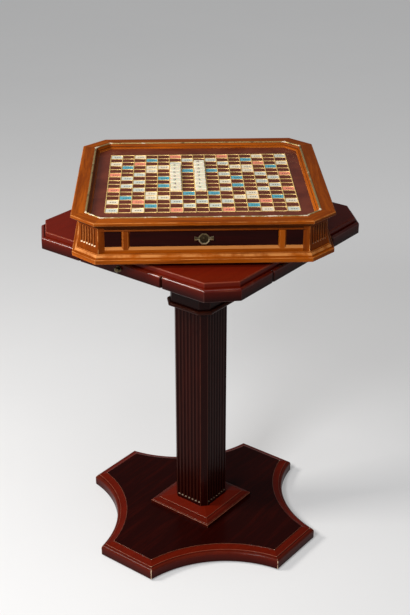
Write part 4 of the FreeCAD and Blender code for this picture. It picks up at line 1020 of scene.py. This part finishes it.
# ------------------------------------------------------------------ cabinet: corner posts
# A post stands across each cut corner and laps a little way along both walls. Its foot flares out
# over the plinth, and six round-ended flutes are cut in its corner face. The flutes are painted
# darker inside as painted shade and pale at their feet as painted glints, strongest at the front
# left, and the flare is painted paler, partly as rub and partly as painted light.
post_low, post_high = heights("corner_posts")
flare, flare_low, flare_rise = 6.6 * mm, plinth_low + plinth_rise, 36 * mm
post_flutes, post_radius, post_depth = 6, 2.3 * mm, 1.8 * mm
post_flute_low, post_flute_high = wall_low + 22.5 * mm, wall_high - 5.5 * mm
cut_width = cabinet_cut * math.sqrt(2)
post_reach = cut_width / 2 - 6.8 * mm
face_heights = np.unique(np.r_[
    post_low, flare_low, flare_low + np.linspace(0.02, 1, 12) ** 1.5 * flare_rise, opening_low - foot_bevel,
    opening_low, flute_heights(post_flute_low, post_flute_high, post_radius, post_depth),
    opening_high - 0.01 * mm, opening_high, post_high].round(6))
swell = np.where(face_heights < flare_low, 0, (1 - (face_heights - flare_low) / flare_rise).clip(0) ** 1.9)
swell = np.r_[0, swell, 0]
post_up = np.r_[post_low, face_heights, post_high]
on_face = np.r_[False, np.ones(len(face_heights), bool), False]
places = flute_places(post_reach, post_flutes, post_radius, post_depth)
beside = np.array([1.6, 2.6, 3.6]) * mm
cut_places = np.r_[beside - cut_width / 2, places, cut_width / 2 - beside[::-1]]
post_walk, post_bend, from_start = corner_walk(
    cabinet_polygon, cabinet_half, post_start, np.where(on_face, 0, wall_in - cabinet_half), 2.4 * mm,
    (0, 0.21, 0.5, 0.85), cut_places / cut_width + 0.5)
flank_points = (len(post_walk) - len(cut_places)) // 2
cut_face = slice(flank_points, flank_points + len(cut_places))
fluted = slice(cut_face.start + len(beside), cut_face.stop - len(beside))
on_cut = np.zeros(len(post_walk), bool)
on_cut[cut_face] = True
across = np.zeros(len(post_walk))
across[cut_face] = cut_places
away = np.zeros((len(post_walk), 2))
away[:cut_face.start] = (-1, 0)
away[cut_face] = (-math.sqrt(0.5), -math.sqrt(0.5))
away[cut_face.stop:] = (0, -1)
blend_in = np.minimum(from_start / (8 * mm), 1)
push = swell * flare * (blend_in ** 2 * (3 - 2 * blend_in) * np.where(on_cut, 0.5, 1))[:, None]
sunk = on_cut[:, None] * flute_depth_at(across[:, None], post_up, post_flute_low, post_flute_high, post_reach,
                                        post_flutes, post_radius, post_depth)
in_opening = ((post_up - (opening_low - foot_bevel)) / foot_bevel).clip(0, 1)
in_opening *= post_up < opening_high - 0.005 * mm
bevel = (1 - from_start / side_bevel).clip(0)[:, None] * set_back * in_opening
push -= (sunk + bevel) * on_face
post_rings = raised(post_walk + away[:, None] * push[..., None], post_up)
post_grain = coords(post_up, run_length(post_rings[:, 3])[:, None])
across_flute = from_axis(len(places))
flute_rim = np.zeros((len(post_walk), 1), bool)
flute_rim[fluted, 0] = across_flute == flute_steps // 2
beside_flute = (post_up > post_flute_low - 1.8 * mm) & (post_up < post_flute_high + 1.8 * mm)
on_flare = ~on_cut[:, None] * (swell > 0.02) * (blend_in > 0.99)[:, None]
post_arris = np.maximum(post_bend[:, None].clip(0), 0.3 * flute_rim * beside_flute)
# The flare is marked as a rubbed arris: partly rub, partly painted light where it faces up.
post_arris = np.maximum(post_arris, 0.75 * on_flare)
# Painted glints: the flutes' feet are painted as pale bare wood where light catches them.
in_foot = (post_up < post_flute_low - 0.3 * mm) & (post_up > post_flute_low - 2.1 * mm) & on_face
post_painted_glint = np.zeros_like(post_arris)
post_painted_glint[fluted] = (across_flute < 3)[:, None] * in_foot
# Painted shade: the flutes darken with their depth.
post_flute_shade = 0.8 * (sunk / post_depth) ** 2
post_corner = 0.5 * np.exp(-np.abs(post_up - flare_low) / (4 * mm))
make_piece("corner_posts", [shell(
    about_column(post_rings, quarter * np.pi / 2), post_grain, post_arris, post_corner, post_flute_shade,
    0.1 * quarter - 1.5, post_painted_glint * glint_strength) for quarter, glint_strength in enumerate((0.9, 0.15, 0.15, 0.3))],
    light_wood, "cabinet", "light_wood", "corner_posts")


# ------------------------------------------------------------------ cabinet: top frame
# Eight mitred lengths of wide flat moulding that cap the walls and frame the board. The outer
# edge is rounded over and undercut. The undercut is painted dark as the overhang's painted
# shadow, and the lengths at the right and rear are painted darker as painted shade.
frame_low, frame_high = heights("top_frame")
opening_half = cabinet_half - 13.5 * mm
opening_polygon = cut_square(opening_half, cabinet_cut - tangent * 13.5 * mm)
frame_section, frame_edge = eased(np.array([
    (0, 0), (14.5, 0), (23.6, 6.8), (24.4, 8.1), (26.5, 8.3), (26.5, 14), (2.6, 14), (2.6, 12.8),
    (0, 12.8)]) * mm + (0, frame_low), [0, 0.4, 3.0, 0.3, 0.9, 1.6, 0.3, 0, 0], 6,
    wear=[0, 0, 0, 0.6, 0.6, 0.5, 0, 0, 0])
# Painted shadow: the undercut is marked as a hollow and darkened.
frame_edge[frame_section[:, 1] < frame_low + 7.6 * mm] = -0.95
# The right and rear lengths are painted darker as painted shade.
make_piece("top_frame", mitred_lengths(opening_polygon, frame_section, frame_edge, 1.0 * mm, 0.3,
                                       (0, 0.5, 1.3, 1.2, 1.2, 0.7, 0.4, 0)),
           light_wood, "cabinet", "light_wood", "top_frame")


# ------------------------------------------------------------------ cabinet: opening trim and liner
# A thin gilt strip is let into the inner edge of the frame; the gilding is rubbed to its pale
# ground, most of all at the corners. Below it a hollow moulding runs down to the board; its
# lengths on the left are painted darker as painted shade.
gilt, tree, shader = new_material("gold_trim", Roughness=0.35)
place = own_place(tree)
patches = noise(place, 34.0, 5, 0.7)
near_edge = add_node(tree, "SeparateXYZ", {0: place}).outputs[1]
level = plus(patches, times(marked(tree, "corner"), 0.34))
lost = eased_step(plus(level, eased_step(near_edge, -0.12, -0.2, 0.0, 0.09)), 0.60, 0.68)
dirty = eased_step(noise(place, 60.0, 3), 0.58, 0.70)
colour = mixed(noise(place, 420.0, 2), (0.42, 0.27, 0.09, 1), (0.66, 0.47, 0.19, 1))
colour = mixed(times(dirty, 0.7), colour, (0.07, 0.035, 0.012, 1))
feed(shader, Base_Color=mixed(lost, colour, mixed(patches, (0.46, 0.33, 0.17, 1), (0.86, 0.78, 0.62, 1))),
     Metallic=times(minus(1.0, lost), 0.75), Normal=bumped(lost, 0.3, 0.0002, invert=True))

trim_section, trim_edge = eased(np.array([
    (-1.0, -1.2), (2.6, -1.2), (2.6, 0.8), (-1.0, 0.8)]) * mm + (0, frame_high), [0.2, 0, 0.9, 0.9])
make_piece("opening_trim", mitred_lengths(opening_polygon, trim_section, trim_edge, 0.6 * mm),
           gilt, "cabinet", "gold_trim", "opening_trim")

board_low, board_high = heights("board_panel")
liner_foot = -7.5 * mm
liner_section, liner_edge = eased([
    (liner_foot, board_high), (0, board_high), (0, frame_high - 1.2 * mm), (-0.8 * mm, frame_high - 1.2 * mm),
    (-1.3 * mm, frame_high - 2.8 * mm), (-3.0 * mm, frame_high - 6.0 * mm),
    (-6.9 * mm, board_high + 1.5 * mm), (liner_foot, board_high + 1.4 * mm)],
    [0, 0, 0, 0.2, 0.5, 4.0, 0.5, 0.4])
# The left lengths are painted darker as painted shade, the right one a little paler as painted light.
make_piece("opening_liner", mitred_lengths(opening_polygon, liner_section, liner_edge, 0.6 * mm, 0.15,
                                           (0, 0, -0.3, 0, 0, 0.8, 2.0, 1.4)),
           light_wood, "cabinet", "light_wood", "opening_liner")


# ------------------------------------------------------------------ playing board
# A thin board lacquered burgundy, with a printed field of fifteen by fifteen cells. Some cells
# are printed in salmon, teal, cream or sage, each with three small dark pips. The colours are set
# out in eightfold symmetry about the middle cell.
cells, bar_width, bar_height = 15, 1.8 * mm, 0.9 * mm
field_x, field_y = 347 * mm, 312 * mm
cell_x, cell_y = (field_x - bar_width) / cells, (field_y - bar_width) / cells
grid_lines = [np.arange(cells + 1) * pitch + bar_width / 2 - span / 2
              for pitch, span in ((cell_x, field_x), (cell_y, field_y))]

lacquer, tree, shader = new_material("board_print", Specular_IOR_Level=0.2)
place = own_place(tree)
cloud = noise(place, 22.0, 5, 0.65)
ground = mixed(eased_step(cloud, 0.3, 0.7), (0.082, 0.0140, 0.0070, 1), (0.140, 0.030, 0.015, 1))
tint = add_node(tree, "Attribute", attribute_name="cell_colour").outputs
in_cell = add_node(tree, "UVMap", uv_map="cell").outputs[0]
across = add_node(tree, "SeparateXYZ", {0: in_cell}).outputs
fade = times(eased_step(noise(place, 120.0, 4, 0.7), 0.35, 0.6), 0.16)
ink = mixed(fade, tint["Color"], (0.45, 0.36, 0.27, 1))
pip_radius, pip_half_pitch, pips_reach = 0.075, 0.095, 0.28
pitch = calc("PINGPONG", plus(across[0], pip_half_pitch + 0.5), pip_half_pitch)
row = times(minus(across[1], 0.5), 0.9)
from_pip = calc("SQRT", plus(calc("POWER", pitch, 2.0), calc("POWER", row, 2.0)))
from_middle = calc("ABSOLUTE", minus(across[0], 0.5))
pips = times(calc("LESS_THAN", from_pip, pip_radius), calc("LESS_THAN", from_middle, pips_reach))
ink = mixed(times(pips, 0.92), ink, (0.02, 0.02, 0.025, 1))
feed(shader, Base_Color=mixed(tint["Alpha"], ground, ink), Roughness=plus(times(cloud, 0.25), 0.28),
     Normal=bumped(noise(place, 900.0, 2), 0.1, 0.0003))

board_half = cabinet_half - 14.5 * mm
board_section, board_edge = plate_line(30 * mm, board_low, board_high, [0, 0.3, 0.3, 0])
board_skin = shell(*slab(cut_square(board_half, cabinet_cut - tangent * 14.5 * mm), board_section, board_edge,
                         0.5 * mm))
board = make_piece("board_panel", [board_skin], lacquer, "cabinet", "board_print", "board_panel")
plain_ground = board.data.attributes.new("cell_colour", "FLOAT_COLOR", "CORNER")
plain_ground.data.foreach_set("color", np.zeros(4 * len(board.data.loops), np.float32))

salmon, teal = (0.80, 0.235, 0.140, 1), (0.045, 0.345, 0.46, 1)
cream, sage = (0.78, 0.69, 0.52, 1), (0.58, 0.62, 0.55, 1)
field_colours = {
    (7, 2): salmon, (5, 5): salmon, (6, 4): teal, (3, 1): teal, (7, 5): cream, (4, 3): cream, (2, 0): cream,
    (0, 0): cream, (4, 4): cream, (7, 7): sage, (6, 1): sage, (5, 2): sage, (2, 2): sage, (5, 0): sage}


def printed_field():
    """A thin printed sheet of one face per cell.

    Counted from the middle cell, a cell's column and row distances, the larger one first, choose
    its colour. The map cell runs from 0 to 1 over every cell."""
    grid = np.stack(np.meshgrid(*grid_lines, indexing="ij"), -1).reshape(-1, 2)
    lift = 0.05 * mm
    points = np.concatenate([raised(grid, board_high + lift), raised(grid, board_high - lift)])
    index = np.arange((cells + 1) ** 2).reshape(cells + 1, cells + 1)
    top = np.stack([index[:-1, :-1], index[1:, :-1], index[1:, 1:], index[:-1, 1:]], -1).reshape(-1, 4)
    rim = np.r_[index[:-1, 0], index[-1, :-1], index[:0:-1, -1], index[0, :0:-1]]
    under = len(grid)
    sides = np.stack([rim, rim + under, np.roll(rim, -1) + under, np.roll(rim, -1)], -1)
    mesh = bpy.data.meshes.new("board_print")
    mesh.from_pydata(points.tolist(), [], np.concatenate([top, top[:, ::-1] + under, sides]).tolist())
    corner_map = np.zeros((len(mesh.loops), 2), np.float32)
    corner_map[:len(top) * 4] = np.tile([(0, 0), (1, 0), (1, 1), (0, 1)], (len(top), 1))
    mesh.uv_layers.new(name="cell").data.foreach_set("uv", corner_map.ravel())
    column, row = np.divmod(np.arange(cells ** 2), cells)
    reach = np.sort(np.abs(np.stack([column, row], -1) - cells // 2), -1)
    chosen = np.zeros((cells ** 2, 4), np.float32)
    for (larger, smaller), colour in field_colours.items():
        chosen[(reach[:, 1] == larger) & (reach[:, 0] == smaller)] = colour
    colours = np.zeros((len(mesh.loops), 4), np.float32)
    colours[:len(top) * 4] = np.repeat(chosen, 4, axis=0)
    mesh.attributes.new("cell_colour", "FLOAT_COLOR", "CORNER").data.foreach_set("color", colours.ravel())
    return mesh


sheet_mesh = printed_field()
sheet_mesh.materials.append(lacquer)
print_sheet = new_object("board_field_print", sheet_mesh)
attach(print_sheet, "cabinet")


# ------------------------------------------------------------------ raised grid
# One moulded lattice of low round-topped bars, gilt, that keeps the tiles in their cells.
gold, tree, shader = new_material("gold_grid")
place = own_place(tree)
speck = noise(place, 260.0, 4, 0.7)
thin = eased_step(noise(place, 45.0, 4), 0.45, 0.72)
colour = mixed(speck, (0.66, 0.42, 0.13, 1), (0.90, 0.65, 0.25, 1))
feed(shader, Base_Color=mixed(times(thin, 0.4), colour, (0.42, 0.19, 0.10, 1)),
     Metallic=minus(0.40, times(thin, 0.3)), Roughness=plus(times(speck, 0.3), 0.28))


def lattice():
    """A sheet over a grid of lines whose height is h (1 - t^4)^(1/2) across each bar, t going from
    -1 to 1 over its width, and the larger of the two where bars cross. Faces inside the cells are
    left out, and a flat sheet under the bars closes it."""
    t = np.array([-1, -0.9, -0.6, 0, 0.6, 0.9, 1])
    rise = bar_height * np.sqrt(1 - t ** 4)
    axes = [(middles[:, None] + t * bar_width / 2).ravel() for middles in grid_lines]
    lift = np.tile(rise, cells + 1)
    height = np.maximum(lift[:, None], lift[None, :])
    x, y = np.meshgrid(*axes, indexing="ij")
    count = len(lift)
    top = coords(x, y, board_high + height).reshape(-1, 3)
    under = coords(x, y, board_high).reshape(-1, 3)
    index = np.arange(count ** 2).reshape(count, count)
    quads = np.stack([index[:-1, :-1], index[1:, :-1], index[1:, 1:], index[:-1, 1:]], -1)
    on_bar = np.arange(count - 1) % len(t) != len(t) - 1
    quads = quads[on_bar[:, None] | on_bar[None, :]]
    welded = np.where(height.ravel() > 0, np.arange(count ** 2) + count ** 2, np.arange(count ** 2))
    return np.concatenate([top, under]), np.concatenate([quads, welded[quads[:, ::-1]]])


points, quads = lattice()
used, renumbered = np.unique(quads, return_inverse=True)
grid_mesh = bpy.data.meshes.new("board_grid")
grid_mesh.from_pydata(points[used].tolist(), [], renumbered.reshape(quads.shape).tolist())
grid_mesh.polygons.foreach_set("use_smooth", [True] * len(grid_mesh.polygons))
grid_mesh.set_sharp_from_angle(angle=math.radians(50))
grid_mesh.materials.append(gold)
raised_grid = new_object("board_grid", grid_mesh)
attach(raised_grid, "cabinet")
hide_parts("board_grid")


# ------------------------------------------------------------------ letter tiles
# Fifteen loose moulded tiles in two upright rows, ivory, with soft edges, a little out of line
# where players put them down. Each carries a plain dark number.
ivory, tree, shader = new_material("ivory_tile", Subsurface_Weight=0.12, Subsurface_Scale=0.002,
                                   Coat_Weight=0.15, Coat_Roughness=0.25)
place = own_place(tree)
tone = noise(place, 30.0, 4, 0.6)
fine = noise(stretched(place, (400, 60, 400)), 1.0, 2)
colour = mixed(tone, (0.78, 0.70, 0.50, 1), (0.87, 0.82, 0.67, 1))
feed(shader, Base_Color=mixed(times(fine, 0.25), colour, (0.70, 0.58, 0.40, 1)),
     Roughness=plus(times(tone, 0.2), 0.28))

ink_black, tree, shader = new_material("tile_ink", Roughness=0.5)
feed(shader, Base_Color=mixed(noise(own_place(tree), 700.0, 3), (0.012, 0.012, 0.014, 1),
                              (0.05, 0.045, 0.04, 1)))

number_size, number_left = 11.5 * mm, 2.2 * mm


def printed_number(number, turn, place):
    """The points and faces of a plain number, turned, its middle a little to the left of a place."""
    text = bpy.data.curves.new("tile_number", "FONT")
    text.body, text.size, text.align_x, text.align_y = number, number_size, "CENTER", "CENTER"
    text.extrude = 0.04 * mm
    holder = new_object("tile_number", text)
    bpy.context.view_layer.update()
    glyph = bpy.data.meshes.new_from_object(holder.evaluated_get(bpy.context.evaluated_depsgraph_get()))
    bpy.data.objects.remove(holder)
    points = np.zeros(len(glyph.vertices) * 3)
    glyph.vertices.foreach_get("co", points)
    points = about_column(points.reshape(-1, 3) - (number_left, 0, 0), turn) + place
    return points, [list(polygon.vertices) for polygon in glyph.polygons]


scatter = np.random.default_rng(7)
stray_mm, skew_degrees = 0.35, 1.2
tile_high, tile_play = 4.6 * mm, 1.0 * mm
tile_outline = square(0.5) * (cell_x - bar_width - tile_play, cell_y - bar_width - tile_play)
tile_part = slab(tile_outline, *plate_line(4 * mm, 0, tile_high, [0, 0.4, 0.9, 0]), 1.3 * mm, runs=(0.5,))
for word, column, first_row, numbers in (("tiles_left", 6, 4, "3752946"), ("tiles_right", 8, 3, "82507319")):
    skins, points, faces = [], [], []
    for row, number in enumerate(numbers, first_row):
        middle = np.array([(column - 0.5) * cell_x + bar_width / 2 - field_x / 2,
                           field_y / 2 - (row - 0.5) * cell_y - bar_width / 2])
        middle += scatter.uniform(-stray_mm, stray_mm, 2) * mm
        tilt = math.radians(scatter.uniform(-skew_degrees, skew_degrees))
        skins.append(shell(*moved(turned(tile_part, tilt), (*middle, board_high))))
        figure, figure_faces = printed_number(number, tilt, (*middle, board_high + tile_high))
        faces += [[corner + len(points) for corner in face] for face in figure_faces]
        points += figure.tolist()
    make_piece(f"{word}_word", skins, ivory, word, "ivory_tile", f"{word}_word")
    number_mesh = bpy.data.meshes.new(f"{word}_numbers")
    number_mesh.from_pydata(points, [], faces)
    number_mesh.materials.append(ink_black)
    numbers_piece = new_object(f"{word}_numbers", number_mesh)
    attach(numbers_piece, word)


# ------------------------------------------------------------------ drawer front and pull
# A flat burgundy-lacquered front, set a little back in its opening. The pull is cast brass: a
# backplate with flared wings, an eight-sided rim with a domed boss, and a bail that hangs on a
# pin between two lugs and completes the rim.
drawer_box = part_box("drawer_front")
front_face, front_width = -drawer_box[0].y, drawer_box[1].x
part = panel(-front_width, front_width, opening_low + 0.5 * mm, drawer_box[1].z, front_face, 10 * mm, 0.9,
             0.55)
make_piece("drawer_front", [shell(*part)], burgundy, "drawer", "burgundy_lacquer", "drawer_front")

pull_middle = sum(heights("pull_plate")) / 2
in_place = (0, 0, pull_middle)
pull_half, rim_bar, plate_thick, rim_rise = 9.4 * mm, 1.9 * mm, 1.2 * mm, 0.8 * mm
wing_in, wing_out, wing_half, wing_neck = 8.5 * mm, 16.4 * mm, 4.2 * mm, 1.6 * mm
lug_place, bail_end_place = 14.4 * mm, 14.9 * mm
pull_cut = 0.59 * pull_half


def cast_plate(outline, reach, low, high, rounding, ease):
    """A plate on the drawer front, between two distances from it, its front arris rounded."""
    line, edge = plate_line(reach, low, high, [0, 0, rounding, 0])
    return upright(slab(outline, line, edge, ease, runs=(0.5,)), front_face)


plate_part = cast_plate(cut_square(pull_half - 0.4 * mm, pull_cut), 1 * mm, 0, plate_thick, 0.35, 0.3 * mm)
wing_outline = np.array([(wing_in, -wing_neck), (wing_out, -wing_half), (wing_out, wing_half),
                         (wing_in, wing_neck)])


def ring_moulding(polygon, section, edge, ease):
    """A closed ring: a section (out, up) carried once round an outline, with no ends."""
    loops, _ = path_loop(polygon, section[:, 0], ease, (0.5,))
    stations = loops.reshape(-1, len(section), 2)
    points = raised(stations, section[:, 1])
    grain = coords(run_length(stations[:, 0])[:, None], run_length(section))
    return [points, grain, edge.clip(0)]


rim_line, rim_line_edge = plate_line(rim_bar, plate_thick - 0.2 * mm, plate_thick + rim_rise,
                                     [0, 0, 0.45, 0.45])
rim_part = upright(ring_moulding(cut_square(pull_half, pull_cut), rim_line, rim_line_edge, 1.2 * mm),
                   front_face)
boss_line, boss_edge = eased(np.array([
    (0.1, 0.9), (3.9, 0.9), (3.9, 1.4), (3.2, 1.6), (2.8, 2.1), (1.5, 2.7), (0.1, 2.8)]) * mm
    + (0, front_face), [0, 0, 0.2, 0.3, 0.6, 1.2, 0], wear=0.2)
pin_out = -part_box("pull_bail")[0].y - 1.3 * mm
lug_line, lug_edge = eased(np.array([(0, -2), (2.1, -2), (2.1, 2), (0, 2)]) * mm, [0, 0.5, 0.5, 0])
web = np.array([(-2, -1.7), (2, -1.7), (2, 1.7), (-2, 1.7)]) * mm


def across_pull(parts, middle):
    """A lathe piece laid along X, with its middle at a point."""
    x, y, z = np.moveaxis(parts[0], -1, 0)
    return [np.stack([-y, x, z], -1) + middle, *parts[1:]]


pull_skins = [shell(*moved(plate_part, in_place)[:2], hollow=1.0),
              shell(*moved(rim_part, in_place), ring=True),
              shell(*moved(lathe(boss_line.clip(1e-5), boss_edge, 28), in_place), hollow=0.95)]
for side in (-1, 1):
    wing = cast_plate(side * wing_outline, 0.9 * mm, 0, plate_thick + 0.5 * mm, 0.45, 0.3 * mm)
    knuckle = across_pull(lathe(lug_line.clip((1e-5, -1)), lug_edge, 24),
                          (side * lug_place, -pin_out, pull_middle))
    lug = cast_plate(web, 0.8 * mm, 0.4 * mm, pin_out - front_face, 0.3, 0.4 * mm)
    pull_skins += [shell(*moved(wing, in_place)[:2], 0.7), shell(*knuckle),
                   shell(*moved(lug, (side * lug_place, 0, pull_middle)))]
make_piece("pull_plate", pull_skins, brass_material, "drawer", "aged_brass", "pull_plate")

bail_rod, pin_rod = 1.25 * mm, 0.95 * mm
bail_half = pull_half - bail_rod
bail_end = 0.44 * bail_half
bail_path, _ = eased([
    (-bail_end_place, 0), (-bail_half, 0), (-bail_half, -bail_end), (-bail_end, -bail_half),
    (bail_end, -bail_half), (bail_half, -bail_end), (bail_half, 0), (bail_end_place, 0)],
    [0, 0.9, 1.6, 1.6, 1.6, 1.6, 0.9, 0], 6)
heading = unit(np.gradient(bail_path, axis=0))
sideways = np.stack([heading[:, 1], -heading[:, 0]], -1)
round_turn = np.linspace(0, 2 * np.pi, 20, endpoint=False)
rod = np.where(np.abs(bail_path[:, :1]) > bail_half + 1.0 * mm, pin_rod, bail_rod)
reach = rod * np.cos(round_turn)
bail_points = coords(bail_path[:, :1] + reach * sideways[:, :1], rod * np.sin(round_turn) - pin_out,
                     bail_path[:, 1:] + reach * sideways[:, 1:] + pull_middle)
bail_grain = coords(run_length(bail_path)[:, None], bail_rod * round_turn)
outer_rub = (-np.sin(round_turn)).clip(0)
make_piece("pull_bail", [shell(bail_points, bail_grain, outer_rub)], brass_material, "drawer_bail",
           "aged_brass", "pull_bail")
